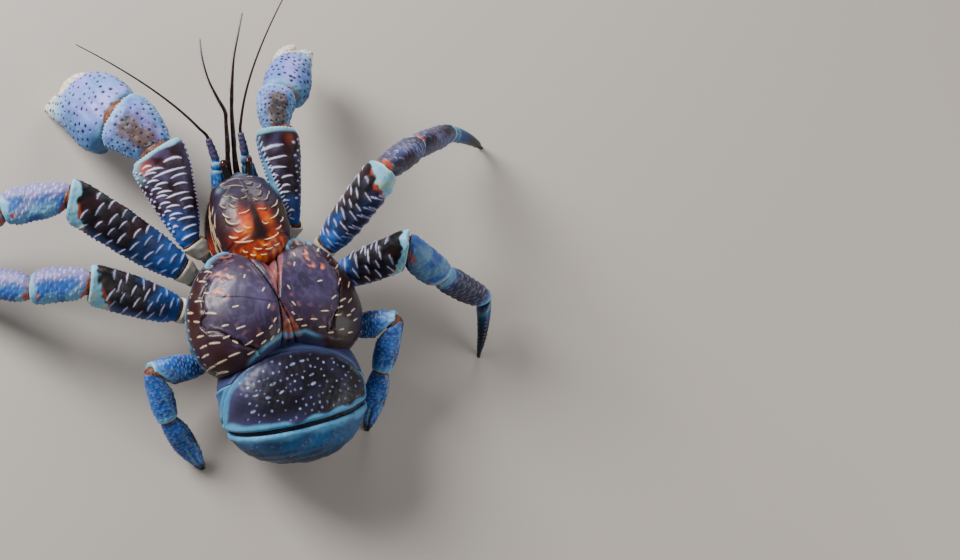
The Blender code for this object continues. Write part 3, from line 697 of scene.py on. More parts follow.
# %% Bristles
PATCH, PATCH_RING = 0.0007, 0.0008  # size of a bristle on its map, and how far it stands off


def above_floor(points):
    """The same points, with none lower than the floor."""
    points[:, 2] = np.maximum(points[:, 2], 0.0)
    return points


def tuft_roots(mesh, points, spots, keep=1.0):
    """Where tufts stand: point of the piece, its outward way, and place on the unwrap."""
    x, a = read(mesh, "along"), read(mesh, "around")
    length, girth = max(x.max(), 1.0), max(read(mesh, "girth").max(), 1.0)
    ways = normals(mesh)
    roots = []
    for sx, sa in spots:
        k = int(np.argmin((x - sx) ** 2 + (a - sa) ** 2))
        if (x[k] - sx) ** 2 + (a[k] - sa) ** 2 < 4 and rng.uniform() < keep:
            roots.append((points[k], ways[k], x[k] / length, 0.5 + a[k] / girth / 2))
    return roots


def bristles(name, roots, length, spread=0.45, count=4, thick=0.13, lean=(0, 0, 0)):
    """Tufts of stiff three-sided bristles standing on the roots of one piece."""
    bm = bmesh.new()
    bmesh.ops.create_cone(bm, cap_ends=True, segments=3, radius1=1.0, radius2=0.0, depth=1.0)
    bmesh.ops.remove_doubles(bm, verts=bm.verts, dist=0.001)
    bmesh.ops.triangulate(bm, faces=bm.faces)
    corner = np.array([v.co for v in bm.verts])
    faces = np.array([[v.index for v in f.verts] for f in bm.faces])
    bm.free()
    corner[:, 2] += 0.5
    points, place, shade = [], [], []
    for root, way, u, v in roots:
        one = unit(np.cross(way, (0.3, 0.2, 1.0)))
        two = np.cross(way, one)
        for k in range(count):
            turn = 2 * math.pi * (k + rng.uniform(-0.3, 0.3)) / count
            side = one * math.cos(turn) + two * math.sin(turn)
            grow = unit(way + side * spread * rng.uniform(0.5, 1.2) + np.array(lean))
            first = unit(np.cross(grow, side + (0.01, 0, 0)))
            second = np.cross(grow, first)
            reach = length * rng.uniform(0.65, 1.1)
            foot = root - way * 0.15 + side * 0.2
            points.append(foot + corner[:, :1] * first * thick + corner[:, 1:2] * second * thick
                          + corner[:, 2:] * grow * reach)
            place.append(np.array([u, v]) + PATCH_RING * np.array([math.cos(turn), math.sin(turn)])
                         + PATCH * corner[:, :2])
            shade.append(corner[:, 2])
    points, place = np.concatenate(points), np.concatenate(place)
    ups = len(corner) * np.arange(len(shade))
    mesh = bpy.data.meshes.new(name)
    mesh.from_pydata(points.tolist(), [],
                     (faces[None] + ups[:, None, None]).reshape(-1, 3).tolist())
    bake = mesh.uv_layers.new(name="OFBake")
    corners = np.empty(len(mesh.loops), int)
    mesh.loops.foreach_get("vertex_index", corners)
    bake.data.foreach_set("uv", place[corners].ravel())
    bm = bmesh.new()
    bm.from_mesh(mesh)
    bmesh.ops.recalc_face_normals(bm, faces=bm.faces)
    bm.to_mesh(mesh)
    bm.free()
    finish_piece(name, above_floor(points), mesh, {"tip": np.concatenate(shade)},
                 shell["bristle"], [], False)


# %% [markdown]
# The upper article of a walking leg (merus) is nearly black with staggered white-crested ridges;
# the middle ones (carpus and propodus) are lilac above and blue below. A ridge is a stroke whose
# crest is raised half a millimetre, on both faces alike.

# %% Ridges of the leg articles
RIDGES = {"merus": (5.0, 9.6, 0.62), "carpus": (2.7, 3.6, 0.5), "propodus": (2.6, 3.4, 0.45)}
DARK_RIDGES = {"merus": (5.0, 9.6, 0.62), "carpus": (3.5, 4.4, 0.5), "propodus": (3.5, 4.4, 0.45)}


def leg_ridges(mesh, rows, size, length, kind, dark_leg):
    """Crest, rise and edge spines of one article, each from 0 to 1."""
    x, a, g = read(mesh, "along", "around", "girth")
    half = lambda t: half_width(rows, t) * size * 1.15
    gap, piece, width = (DARK_RIDGES if dark_leg else RIDGES)[kind]
    spots = scatter(length, half, 5, length - (10 if kind == "merus" else 4), gap, piece,
                    0.9, 0.16, 1.5 if dark_leg else 1.0)
    under = [(sx + 1.5, sa, h, -tilt) for sx, sa, h, tilt in spots]
    turned = np.sign(a) * (g - np.abs(a))
    crest, rise = strokes(x, a, spots, width, 2.4, 0.8)
    crest_under, rise_under = strokes(x, -turned, under, width * 0.9, 2.4, 0.8)
    teeth = tooth_row(half, length, gap=(2.8, 4.2), shift=1.18)
    spine, _ = strokes(x, a, [] if dark_leg else teeth, 0.8)
    return np.maximum(crest, crest_under), np.maximum(rise, rise_under), spine


# %% [markdown]
# The blue root fades out in clouds, and the pale knee has a longer rear lobe with a rusty border.
# So each zone is a band of distance whose border wanders with the rough noise. The right legs are
# the darker pair.

# %% Colours of the leg articles
DARK_LILAC = 0.16     # how strong the lilac is on the dark right legs
DARK_CRESTS = 0.62    # and how strong the pale crests are there


def merus_masks(mesh, length, rear, cloud, crest, rise, spine, dots, dark_leg):
    x, near, rim = read(mesh, "along", "near", "rim")
    p = coords(mesh)
    base = 1 - step(x + 6 * cloud, length * 0.10, length * (0.40 if dark_leg else 0.50))
    lobe = (rim - 5.0 * step(rear, -0.3, 0.4) - 6.0 * step(rear, 0.35, 0.95)
            + 1.0 * cloud + 0.9 * rough(p, 3.0, 14))
    knee = 1 - step(lobe, 4.2, 5.8)
    # pale crests are dimmer towards the root of the leg and vary a little
    crest_strength = (0.55 + 0.45 * step(x, length * 0.15, length * 0.5)) * (0.85 + 0.25 * rough(p, 4.0, 16))
    return {
        "blue": base * 0.85 + step(rear, 0.6, 1.0) * (0.15 if dark_leg else 0.5)
        + 0.3 * rise * base,
        "pale": knee,
        "cream": knee * step(rear, 0.0, 0.6) * step(rough(p, 5.0, 17), -0.5, 0.7) * 0.7,
        "rust": bell(lobe - 6.6, 1.2) * step(rear, -0.5, 0.2)
        * step(cloud + rough(p, 4.0, 15), -0.7, 0.5) * 0.9,
        "maroon": step(cloud, -0.1, 0.9) * (1 - base),
        "tip": dots * knee * 0.9,
        "ridge": np.clip(crest * (0.75 + 0.2 * cloud) * crest_strength + spine * 0.6 + 0.10 * rise, 0, 1)
        * (1 - knee) * step(near, 1, 4)}


def middle_masks(mesh, length, rear, cloud, crest, rise, spine, dots, dark_leg):
    x, near, rim, out = read(mesh, "along", "near", "rim", "face")
    top = step(-rear + 0.25 * cloud, *((-1.3, -0.7) if dark_leg else (-0.35, 0.45)))
    rust = np.maximum(bell(near - 2.0, 2.6) * step(rear, 0.2, 0.8) * step(out, -0.6, 0.2),
                      bell(rim - 6.5, 1.3) * bell(rear - 0.5, 0.22))
    return {
        "lilac": top * (DARK_LILAC if dark_leg else 0.95),
        "blue": (0.04 + 0.22 * step(cloud, 0.3, 1.4)) if dark_leg else (1 - top) * 0.85,
        "pale": np.maximum((1 - step(rim + cloud, 2.5, 6.0)) * 0.85,
                           (1 - top) * step(cloud, -0.3, 1.0) * (0.1 if dark_leg else 0.6)),
        "rust": 0.85 * step(rust + 0.12 * rough(coords(mesh), 3.0, 15), 0.35, 0.62),
        "maroon": step(rear + 0.3 * cloud, 0.0, 0.5) * bell(x - length * 0.4, length * 0.25),
        "tip": dots * (1 - top) * 0.8,
        "ridge": np.clip(crest * (0.5 + 0.15 * cloud) + spine * 0.5 + 0.10 * rise, 0, 1)
        * step(rim, 2.5, 5) * step(near, 2, 5) * (0.25 + 0.75 * top)
        * (DARK_CRESTS if dark_leg else 1.0)}


# %% [markdown]
# Two articles of the right third leg differ from their kind: the wrist is mostly blue with one
# rusty eye, and the next one is black between two pale blue ends.

# %% One leg article
def special_masks(name, masks, mesh, cloud):
    """Colours of the two articles that differ, in place of those of their kind."""
    a, near, rim = read(mesh, "around", "near", "rim")
    lilac = masks["lilac"] / DARK_LILAC
    if name == "leg3_right_propodus":
        masks["lilac"] = 0.05 * lilac
        masks["blue"] = 0.06 + 0.9 * bell(np.minimum(near, rim), 7)
        masks["pale"] = bell(near - 2, 3.5) * 0.7 + bell(rim - 1, 3.5) * 0.8
    if name == "leg3_right_carpus":
        masks["lilac"] = 0.1 * lilac
        masks["blue"] = 0.75 - 0.35 * step(cloud, 0.0, 1.0)
        masks["pale"] = masks["pale"] + 0.35 * step(cloud, -0.2, 0.8)
        masks["rust"] = np.maximum(masks["rust"], bell(np.hypot(near - 5.5, a) / 3.0, 1.0))
        masks["ridge"] = masks["ridge"] * 0.2 / DARK_CRESTS


def leg_part(name, start, end, face, rows, size, kind, first, last):
    mesh, length = article_mesh(start, end, face, rows, size, first, last)
    x, a, near, rim, side = read(mesh, "along", "around", "near", "rim", "side")
    dark_leg = "right" in name
    rear = side * (1 if dark_leg else -1)
    p = coords(mesh)
    cloud = rough(p, 9.0, 3)
    crest, rise, spine = leg_ridges(mesh, rows, size, length, kind, dark_leg)
    dots = pits(x, a, sown(2, length - 1, 26, 5.5), 0.55)
    relief = 0.75 if kind == "merus" else 0.45
    lift = ((relief * rise + 0.2 * crest + 0.7 * spine) * step(rim, 1.5, 4.5) * step(near, 1.5, 4)
            + collar(near, rim, 0.6 * size))
    points = shaped(mesh, lift + 0.08 * rough(p, 2.6, 5) + 0.16 * rough(p, 7.0, 6))
    colours = merus_masks if kind == "merus" else middle_masks
    masks = colours(mesh, length, rear, cloud, crest, rise, spine, dots, dark_leg)
    masks["skin"] = bell(near, 0.6)
    if name in ("leg3_right_propodus", "leg3_right_carpus"):
        special_masks(name, masks, mesh, cloud)
    finish_piece(name + "_shell", points, mesh, masks, shell["leg"], [name])


# %% [markdown]
# The last article (dactyl) is a dark curved spike with rows of small ridges and bristles. A bent
# cone could stand for it; here the same tube follows the curve of the solid, so that its tip
# stays on its foot.

# %% The spike of a leg
SPIKE_ROWS = 5


def spike(name, start, tip, lift, half, first):
    """Curved last article, on the same curve as its solid."""
    start, tip = np.array(start, float), np.array(tip, float)
    middle = (start + tip) / 2 + lift
    length = np.linalg.norm(tip - start) * 1.04
    to = unit(tip - start)

    def centre(t):
        t = t[:, None]
        return (start * (1 - t) ** 2 + middle * 2 * t * (1 - t) + tip * t ** 2
                + to * 1.6 * step(t, 0.9, 1.0))

    def way(t):
        t = t[:, None]
        d = (middle - start) * (1 - t) + (tip - middle) * t
        return d / np.linalg.norm(d, axis=1, keepdims=True)

    def across(t):
        d = np.cross(way(t), lift)
        return d / np.linalg.norm(d, axis=1, keepdims=True)

    wide = lambda t: half * (1 - 0.78 * t ** 1.2)
    mesh = tube(centre, across, lambda t: np.cross(across(t), way(t)), wide,
                lambda t: wide(t) * 1.12, length, 0.5, 2.0,
                (first[0] + first[1] * GAP / 2, first[1]))
    x, a, near = read(mesh, "along", "around", "near")
    spots = []
    for k in range(SPIKE_ROWS):
        s = 4.0
        while s < length * 0.9:
            w = wide(s / length) * 3.1
            spots.append((s + rng.uniform(-0.5, 0.5),
                          (k - (SPIKE_ROWS - 1) / 2) / SPIKE_ROWS * 2 * w, 0.9, 0.0))
            s += rng.uniform(2.4, 3.2)
    crest, rise = strokes(x, a, spots, 0.5, 1.4)
    points = above_floor(shaped(mesh, 0.35 * rise * step(near, 2, 5) - 0.9 * bell(near, 2.0)))
    dark = step(x, length * 0.55, length * 0.9)
    roots = tuft_roots(mesh, points, [(s, w + rng.uniform(-1, 1)) for s, w, *_ in spots], 0.6)
    bristles(name + "_bristles", roots, 1.3, 0.5, 3, 0.10, to * 0.8)
    finish_piece(name + "_shell", points, mesh, {
        "ridge": crest * 0.22 * (1 - dark), "tip": 0.45 + 0.5 * dark,
        "blue": (1 - step(x, 2, length * 0.55)) * 0.9,
        "pale": bell(near - 3, 2.0) * 0.7, "skin": bell(near, 1.2)}, shell["leg"], [name])


# %% [markdown]
# The walking legs are put together from the body outwards. The spike starts on a cut that leans
# towards it more than half way, because it folds back sharply.

# %% The four walking legs
for leg, joints in LEGS.items():
    size = 1.0 if leg.startswith("leg2") else 0.95
    j, cuts = bends(joints)
    in_way, out_way = unit(j[4] - j[3]), unit(j[5] - j[4])
    cuts.append((j[4], unit(in_way + unit(in_way + out_way))))
    middle = ("merus", MERUS), ("carpus", CARPUS), ("propodus", PROPODUS)
    for k, (kind, rows) in enumerate(middle):
        leg_part(f"{leg}_{kind}", j[k + 1], j[k + 2], FACES[leg], rows, size, kind, cuts[k],
                 cuts[k + 1])
    lift = np.cross(np.cross((0, 0, 1), out_way), out_way) * -9.0
    spike(leg + "_dactyl", j[4], j[5], lift, 5.6 * size, cuts[3])
    for k, radius in ((1, 7.2), (2, 8.0), (3, 6.6), (4, 5.0)):
        joint_skin(leg, j, k, radius * size)
print("leg pieces:", len(made))

# %% [markdown]
# The small fourth legs are bright blue with a pale knee and an orange line at the wrist, and end
# in a little hand with black tips. They are built as walking legs are, with finer ridges and a
# slit for the two fingers.

# %% A small leg article
def small_part(leg, part, start, end, rows, first, last):
    mesh, length = article_mesh(start, end, TO_CAMERA, rows, 1.0, first, last, 0.45, 3.0)
    x, a, _, near, rim, side, out = read(mesh, *FIELDS)
    p = coords(mesh)
    cloud = rough(p, 6.0, 11)
    crest, rise = strokes(x, a, scatter(length, lambda t: half_width(rows, t) * 1.5, 4, length - 3,
                                        2.4, 2.2, 0.9), 0.38, 1.3)
    streak = rough(np.column_stack([x * 0.45, a * 1.3, 0 * x]), 3.2, 13)
    dots = pits(x, a, sown(2, length - 1, 16, 4.2), 0.45)
    ends = collar(near, rim, 0.7, 0.4, 1.5) if last else -0.7 * bell(near, 1.5)
    hold = step(near, 1.5, 4) * step(rim, 1, 3.5)
    points = shaped(mesh, 0.4 * rise * hold + ends + 0.12 * rough(p, 2.4, 12))
    masks = {"ridge": np.clip(crest * 0.26 + 0.08 * rise, 0, 1)
             * step(near, 2, 4) * step(rim, 1, 3),
             "skin": bell(near, 0.9),
             "pale": bell(np.maximum(rim, 0), 4.0) * 0.8 + step(streak, 0.3, 1.2) * 0.3 if last
             else step(streak, 0.2, 1.2) * 0.35,
             "rust": bell(near - 0.8, 0.7) * step(out, -0.2, 0.5) * 0.8 * step(cloud, -0.8, 0.2),
             "dark": step(-side, 0.35, 1.0) * 0.5 + step(-cloud, 0.3, 1.2) * 0.4}
    if part == "hand":
        slit = bell(side * 6 - 0.6, 0.9) * step(x, length * 0.5, length * 0.58)
        points = above_floor(points - normals(mesh) * (0.8 * slit)[:, None])
        masks["tip"] = np.maximum(step(x, length - 9, length - 4), dots * step(-side, 0, 0.6))
        # the slit between the fingers is darkened as well: painted shade in the recess
        masks["dark"] = np.maximum(masks["dark"], slit * 0.8)
        edge = [(sx, sa) for sx in np.arange(6, length - 3, 1.9) for sa in (-9.5, 9.0)]
        bristles(f"{leg}_hand_bristles", tuft_roots(mesh, points, edge), 1.4, 0.4, 3, 0.10)
    finish_piece(f"{leg}_{part}_shell", points, mesh, masks, shell["small"], [f"{leg}_{part}"])


# %% [markdown]
# The solid of the hand ends a millimetre beyond the last joint, and so does its shell.

# %% The two small legs
for leg, joints in SMALL_LEGS.items():
    j, cuts = bends(joints)
    small_part(leg, "merus", j[1], j[2], SMALL_MERUS, cuts[0], cuts[1])
    small_part(leg, "carpus", j[2], j[3], SMALL_CARPUS, cuts[1], cuts[2])
    small_part(leg, "hand", j[3], j[4] + unit(j[4] - j[3]), SMALL_HAND, cuts[2], None)
    for k, radius in ((1, 5.4), (2, 6.0), (3, 4.8)):
        joint_skin(leg, j, k, radius)
print("with the small legs:", len(made))

# %% [markdown]
# The claw arm is maroon under long white ridges, of which about half are split on the left arm;
# the right arm has a bare blue inner panel behind a row of teeth. Each ridge is a stroke by
# itself, because an even wave would look like a screw thread.

# %% Ridges and inner panel of a claw arm
def arm_ridges(width, length, hand):
    """Spots of the long ridges, and of the knobs beyond them."""
    spots, knobs = [], []
    s = 6.0
    while s < length - 6:
        w = width(s / length)
        tilt = (0.12 + rng.uniform(-0.10, 0.12)) * hand
        if rng.uniform() < (0.5 if hand > 0 else 0.2):
            split = rng.uniform(-0.35, -0.10) * w
            spots.append((s + 0.7, (split - 0.36 * w) * hand, w * rng.uniform(0.24, 0.33), tilt))
            spots.append((s - 0.7, (split + 0.36 * w) * hand, w * rng.uniform(0.22, 0.33), tilt))
        else:
            spots.append((s + rng.uniform(-0.5, 0.5), (-0.25 * w + rng.uniform(-2.0, 2.0)) * hand,
                          w * rng.uniform(0.42, 0.72), tilt))
        if w > 9 and hand > 0:
            spots.append((s + 2.8, (0.45 * w + rng.uniform(-1, 1)) * hand,
                          w * rng.uniform(0.14, 0.26), 0.1 * hand))
        if w > 9:
            knobs.append((s + rng.uniform(-1, 1), (0.78 * w + rng.uniform(-1, 1)) * hand, 0.9, 0.0))
            knobs.append((s + 2.4, (1.02 * w + rng.uniform(-1, 1)) * hand, 0.8, 0.0))
        s += rng.uniform(4.8, 5.8) if hand > 0 else rng.uniform(5.6, 6.6)
    return spots, knobs


def inner_panel(mesh, length):
    """Mask of the bare panel of the right arm, and the spots of the teeth on its border."""
    x, a, side, out = read(mesh, "along", "around", "side", "face")
    border = lambda s: -0.92 + 0.95 * (1 - s / length)
    panel = step(border(x) - side, 0.0, 0.12) * step(out, -0.5, 0.1)
    teeth = []
    for s in np.arange(8.0, length - 3, 2.6):
        k = int(np.argmin(np.abs(x - s) + 30 * np.abs(side - border(s)) + 99 * (out < 0.05)))
        teeth.append((s, a[k], 1.5, -0.75))
    return panel, teeth


# %% [markdown]
# The arm adds a notched pale rim towards the wrist, a blue root and a rusty spot. Crests are
# painted white only where they are raised, as both come from the same numbers.

# %% The claw arm
def claw_arm(claw, j, cuts, size, hand, slim, lean):
    rows = [(t, w * slim ** 0.7, d, (s + lean * t) * hand) for t, w, d, s in CLAW_MERUS]
    arm = size ** 0.5
    mesh, length = article_mesh(j[1], j[2], TO_CAMERA, rows, arm, cuts[0], cuts[1], 0.48)
    x, a, g, near, rim, side, _ = read(mesh, *FIELDS)
    p = coords(mesh)
    cloud = rough(p, 10.0, 31)
    width = lambda t: half_width(rows, t) * arm
    spots, knobs = arm_ridges(width, length, hand)
    crest, rise = strokes(x, a, spots, 0.8, 2.8, 0.9)
    beads, _ = strokes(x, a, knobs + tooth_row(width, length, edges=(hand,)), 1.05)
    spine, _ = strokes(x, a, tooth_row(width, length, edges=(-hand,), gap=(2.2, 2.8)), 1.0)
    turned = np.sign(a) * (g - np.abs(a))
    crest_under, rise_under = strokes(x, -turned, spots, 0.8, 2.6, 0.8)
    panel = np.zeros(len(x))
    if hand < 0:
        panel, teeth = inner_panel(mesh, length)
        edge, _ = strokes(x, a, teeth, 0.75)
        crest, rise = crest * (1 - panel), rise * (1 - panel)
        spine = np.maximum(spine, edge)
    hold = step(rim, 2.5, 6) * step(near, 2, 6)
    notch = (0.5 + 0.5 * np.sin(a * 2.7 + 1.6 * cloud)) ** 2
    lift = ((0.85 * rise + 0.25 * crest + 0.7 * beads + 0.9 * spine + 0.5 * rise_under) * hold
            + collar(near, rim, 0.7, 0.4) + 0.8 * notch * bell(rim - 1.2, 0.9)
            + 0.10 * rough(p, 3.0, 32))
    white = np.maximum.reduce([crest * 0.9, crest_under * 0.8, beads * 0.8, spine,
                               0.6 * notch * bell(rim - 1.0, 0.6)])
    flank = step(-side, 0.45, 0.95) * step(x, length * 0.68, length * 0.86)
    finish_piece(claw + "_merus_shell", shaped(mesh, lift), mesh, {
        "ridge": np.clip(white + 0.12 * rise, 0, 1)
        * np.maximum(step(rim, 4.5, 7), bell(rim - 1, 1.2)) * step(near, 2, 5),
        "blue": (1 - step(x + 4 * cloud, length * 0.14, length * 0.40)) * 0.9 + panel * 0.55,
        "pale": np.maximum.reduce([1 - step(rim + 0.6 * cloud, 3.0, 5.0),
                                   flank * (0.85 if hand > 0 else 0.2),
                                   panel * (0.45 + 0.3 * cloud)]),
        "rust": bell(rim - 9.0, 3.6) * bell(side + 0.55 * hand, 0.22) * (0.95 if hand > 0 else 0.5),
        "lilac": step(cloud, 0.0, 1.0) * step(x, length * 0.35, length * 0.7) * 0.5
        + 0.35 * step(rough(p, 5.0, 40), 0.2, 1.2),
        "skin": bell(near, 0.7)}, shell["arm"], [claw + "_merus"])


# %% [markdown]
# The wrist is lavender with a brown saddle, pale grit and small dark pits that hold tufts of
# bristles. The pits are sunk a quarter of a millimetre, so they keep their shade from every side.

# %% The claw wrist
def claw_wrist(claw, j, cuts, size, hand, slim, lean):
    rows = [(t, w * slim, d, (s + lean) * hand) for t, w, d, s in CLAW_CARPUS]
    mesh, length = article_mesh(j[2], j[3], TO_CAMERA, rows, size, cuts[1], cuts[2], 0.45)
    x, a, _, near, rim, side, out = read(mesh, *FIELDS)
    p = coords(mesh)
    cloud = rough(p, 8.0, 33)
    spots = sown(4, length - 4, 30 * size, 4.6 * size)
    dot = pits(x, a, spots, 1.3)
    grit = step(rough(p, 1.7, 46), 0.5, 1.5)
    width = lambda t: half_width(rows, t) * size
    spine, _ = strokes(x, a, tooth_row(width, length, 2.0, gap=(1.8, 3.0)), 0.7)
    notch = (0.5 + 0.5 * np.sin(a * 2.7 + 1.6 * cloud)) ** 2 * (0.75 + 0.3 * rough(p, 2.4, 39))
    points = shaped(mesh, -0.25 * dot * step(rim, 3, 5) + collar(near, rim, 1.0, 0.0)
                    + 0.9 * bell(rim - 1.3, 0.8) * notch + 0.5 * bell(rim - 2.4, 2.2)
                    + 0.6 * spine * step(rim, 3, 5) + 0.24 * rough(p, 3.2, 34) + 0.12 * grit)
    roots = tuft_roots(mesh, points, [(sx, sa) for sx, sa in spots if 3 < sx < length - 4])
    bristles(claw + "_carpus_bristles", roots, 1.5, 0.55, 4, 0.13, unit(j[3] - j[2]) * 0.7)
    pit = dot * 0.85 * step(rim, 4, 6)
    if hand < 0:
        pit = pit + (0.72 * bell(side - 0.1, 0.6) * step(out, 0, 0.5)
                     * (1 - step(x, length * 0.45, length * 0.8)))
    # low is painted shade on the wrist's underside, turned away from the camera
    finish_piece(claw + "_carpus_shell", points, mesh, {
        "brown": (1 - step(x + 4 * cloud + 5 * side * hand, length * 0.5, length * 0.9))
        * step(out, -0.2, 0.5) * bell(side + 0.1 * hand, 0.85)
        * ((1.1 if hand > 0 else 1.6) + 0.1 * rough(p, 3.5, 38)),
        "blue": np.maximum(step(-side, 0.3, 0.9) * 0.6, bell(rim, 8) * 0.6)
        + step(side, 0.5, 0.95) * 0.7,
        "pale": np.maximum.reduce([(1 - step(rim + 0.5 * notch, 2.2, 5.0)) * 0.85, spine * 0.6,
                                   0.28 * grit]),
        "pit": pit,
        "ridge": 0.55 * notch * bell(rim - 1.2, 0.8) + 0.3 * spine,
        "low": step(-out, 0.0, 0.7) * 0.7, "skin": bell(near, 1.2)},
        shell["claw"], [claw + "_carpus"])


# %% [markdown]
# The palm swells like a pear and runs out into the off-white fixed finger with its blunt teeth.
# It is one tube, because on the animal the two are one piece of shell.

# %% The palm with its fixed finger
def claw_palm(claw, j, cuts, size, hand, slim):
    rows = [(t, w * slim, d, s * slim * hand) for t, w, d, s in PALM]
    mesh, length = article_mesh(j[3], j[4], TO_CAMERA, rows, size, cuts[2], None, 0.45)
    x, a, _, near, _, side, out = read(mesh, *FIELDS)
    p = coords(mesh)
    cloud = rough(p, 14.0, 35)
    spots = sown(5, length * 0.95, 62 * size, 5.4 * size)
    spots = [spot for spot in spots if rng.uniform() < 0.85]
    dot = pits(x, a, spots, 1.6)
    grit = step(rough(p, 1.8, 47), 0.5, 1.5)
    inner = step(side * hand, 0.35, 0.85) * step(x, length * 0.60, length * 0.70)
    knobs = inner * (0.5 + 0.5 * np.sin(x * 1.5)) * 1.3 * (1 - step(x, length * 0.93, length))
    points = above_floor(shaped(mesh, -0.3 * dot + 0.1 * bell(np.abs(dot - 0.3), 0.2)
                                - 1.4 * bell(near, 2.4) + 0.26 * rough(p, 4.0, 36)
                                + 0.12 * grit + knobs))
    roots = tuft_roots(mesh, points, [(sx, sa) for sx, sa in spots if sx > 5])
    bristles(claw + "_palm_bristles", roots, 1.7, 0.55, 5, 0.14, unit(j[4] - j[3]) * 0.7)
    tipward = step(x, length * 0.45, length * 0.9)
    outer = -side * hand
    # low is painted shade on the palm's underside and along its outer side
    finish_piece(claw + "_palm_shell", points, mesh, {
        "white": inner * 0.95 + tipward ** 2 * 0.55,
        "pit": dot * step(near, 2, 5) * 0.95,
        "low": step(-out, -0.1, 0.6) * 0.7
        + step(outer - 0.2 * cloud, 0.0, 0.85) * 0.9 * (1 - tipward),
        "blue": step(cloud, 0.1, 1.1) * 0.45 + step(outer, 0.0, 0.6) * 0.3,
        "pale": tipward * 0.75 + bell(near - 3, 3.0) * 0.5 + 0.28 * grit,
        "skin": bell(near, 1.4)}, shell["claw"], [claw + "_palm"])


# %% [markdown]
# The moving finger stands against the fixed one, wide open on the right claw, and its blunt teeth
# fall between those of the other. It is a piece of its own, since it would move.

# %% The moving finger
def claw_finger(claw, j, size, hand, slim, gape):
    axis = unit(j[4] - j[3])
    across = unit(np.cross(axis, TO_CAMERA)) * hand * size * slim
    away = unit(np.cross(across, axis)) * hand
    reach = np.linalg.norm(j[4] - j[3])
    root = j[3] + axis * reach * 0.52 + across * 15.0 - away * 2.0
    tip = j[3] + axis * reach * (0.93 + gape * 0.006) + across * gape - away * 2.0
    rows = [(t, w * slim, d * 0.9, s * slim * hand) for t, w, d, s in FINGER]
    mesh, length = article_mesh(root, tip, TO_CAMERA, rows, size, None, None, 0.42)
    x, a, side, out = read(mesh, "along", "around", "side", "face")
    spots = sown(4, length * 0.8, 18 * size, 4.2 * size)
    dot = pits(x, a, spots, 0.9)
    inner = step(-side * hand, 0.2, 0.85)
    knobs = inner * (0.5 + 0.5 * np.sin(x * 1.6 + 1.2)) * 1.1 * step(x, 5, 9)
    points = above_floor(shaped(mesh, -0.25 * dot * (1 - inner) + knobs
                                + 0.15 * rough(coords(mesh), 3.0, 37)))
    bristles(claw + "_finger_bristles", tuft_roots(mesh, points, spots), 1.3, 0.5, 4, 0.12,
             unit(tip - root) * 0.7)
    finish_piece(claw + "_finger_shell", points, mesh, {
        "white": 0.8 + 0.3 * inner + step(x, length * 0.6, length) * 0.3,
        "pit": dot * 0.7 * (1 - inner), "pale": 0.4, "blue": step(out, 0.3, 1) * 0.2},
        shell["claw"], [claw + "_finger"])


# %% [markdown]
# Both claws are the same four pieces. The right one is smaller and slimmer, leans across and has
# its finger on the other side, as in the species.

# %% The two claws
for claw, (joints, size, hand, slim, lean, gape) in CLAWS.items():
    j, cuts = bends(joints)
    claw_arm(claw, j, cuts, size, hand, slim, lean)
    claw_wrist(claw, j, cuts, size, hand, slim, lean)
    claw_palm(claw, j, cuts, size, hand, slim)
    claw_finger(claw, j, size, hand, slim, gape)
    joint_skin(claw, j, 1, 6.6)
    joint_skin(claw, j, 2, 11.5 * size * slim ** 0.5, 0.6)
    joint_skin(claw, j, 3, 14.5 * size * slim, 0.55)
print("with claws:", len(made))

# %% [markdown]
# Body plates start as a cube with a fine grid that is blown up to a ball, which leaves no pole on
# the back. Each point then moves along its own ray until it meets the form, found by halving the
# distance again and again.

# %% Blowing up a ball
BALL_REACH = 130.0      # mm, further out than any plate
HALVINGS = 26           # 130 mm halved so often is far below a thousandth of a millimetre


def ball_mesh(cuts, stretch=None, raised=0.0):
    """Ball of even cells, and its rays, which may be flattened and turned upwards."""
    bm = bmesh.new()
    bmesh.ops.create_cube(bm, size=2.0)
    bmesh.ops.subdivide_edges(bm, edges=bm.edges, cuts=cuts, use_grid_fill=True)
    mesh = bpy.data.meshes.new("ball")
    bm.to_mesh(mesh)
    bm.free()
    p = np.tan(coords(mesh) * math.pi / 4)
    rays = p / np.linalg.norm(p, axis=1, keepdims=True)
    if stretch:
        rays = rays * np.array(stretch) + np.array([0.0, 0.0, raised])
        rays /= np.linalg.norm(rays, axis=1, keepdims=True)
    return mesh, rays


def pushed_out(rays, centre, inside):
    """The point on each ray at which inside(points) turns false."""
    low = np.zeros(len(rays))
    high = np.full(len(rays), BALL_REACH)
    for _ in range(HALVINGS):
        mid = (low + high) / 2
        keep = inside(centre + rays * mid[:, None])
        low = np.where(keep, mid, low)
        high = np.where(keep, high, mid)
    return centre + rays * low[:, None]


def settled(mesh, points):
    """Put the points on the mesh, and give its outward ways there."""
    mesh.vertices.foreach_set("co", points.ravel())
    mesh.update()
    return normals(mesh)


def plan_of(outline, middle):
    """Angles and radii of an outline about a middle, three times round for np.interp."""
    angles = np.array([math.atan2(y - middle[1], x - middle[0]) for x, y in outline])
    radii = np.array([math.hypot(x - middle[0], y - middle[1]) for x, y in outline])
    order = np.argsort(angles)
    angles, radii = angles[order], radii[order]
    return np.r_[angles - 2 * math.pi, angles, angles + 2 * math.pi], np.tile(radii, 3)


# %% [markdown]
# A plate is what planes leave of such a ball. It could be modelled by itself, but neighbours cut
# from one form share their curve, and the gap between them is the real seam. Each cut hole is
# filled, so every plate is a closed solid.

# %% Cutting plates
SHARP = math.radians(50)


def cut(point, normal):
    """Cut that takes off what lies beyond the point along the normal, and half the gap."""
    return point - normal * GAP / 2, normal


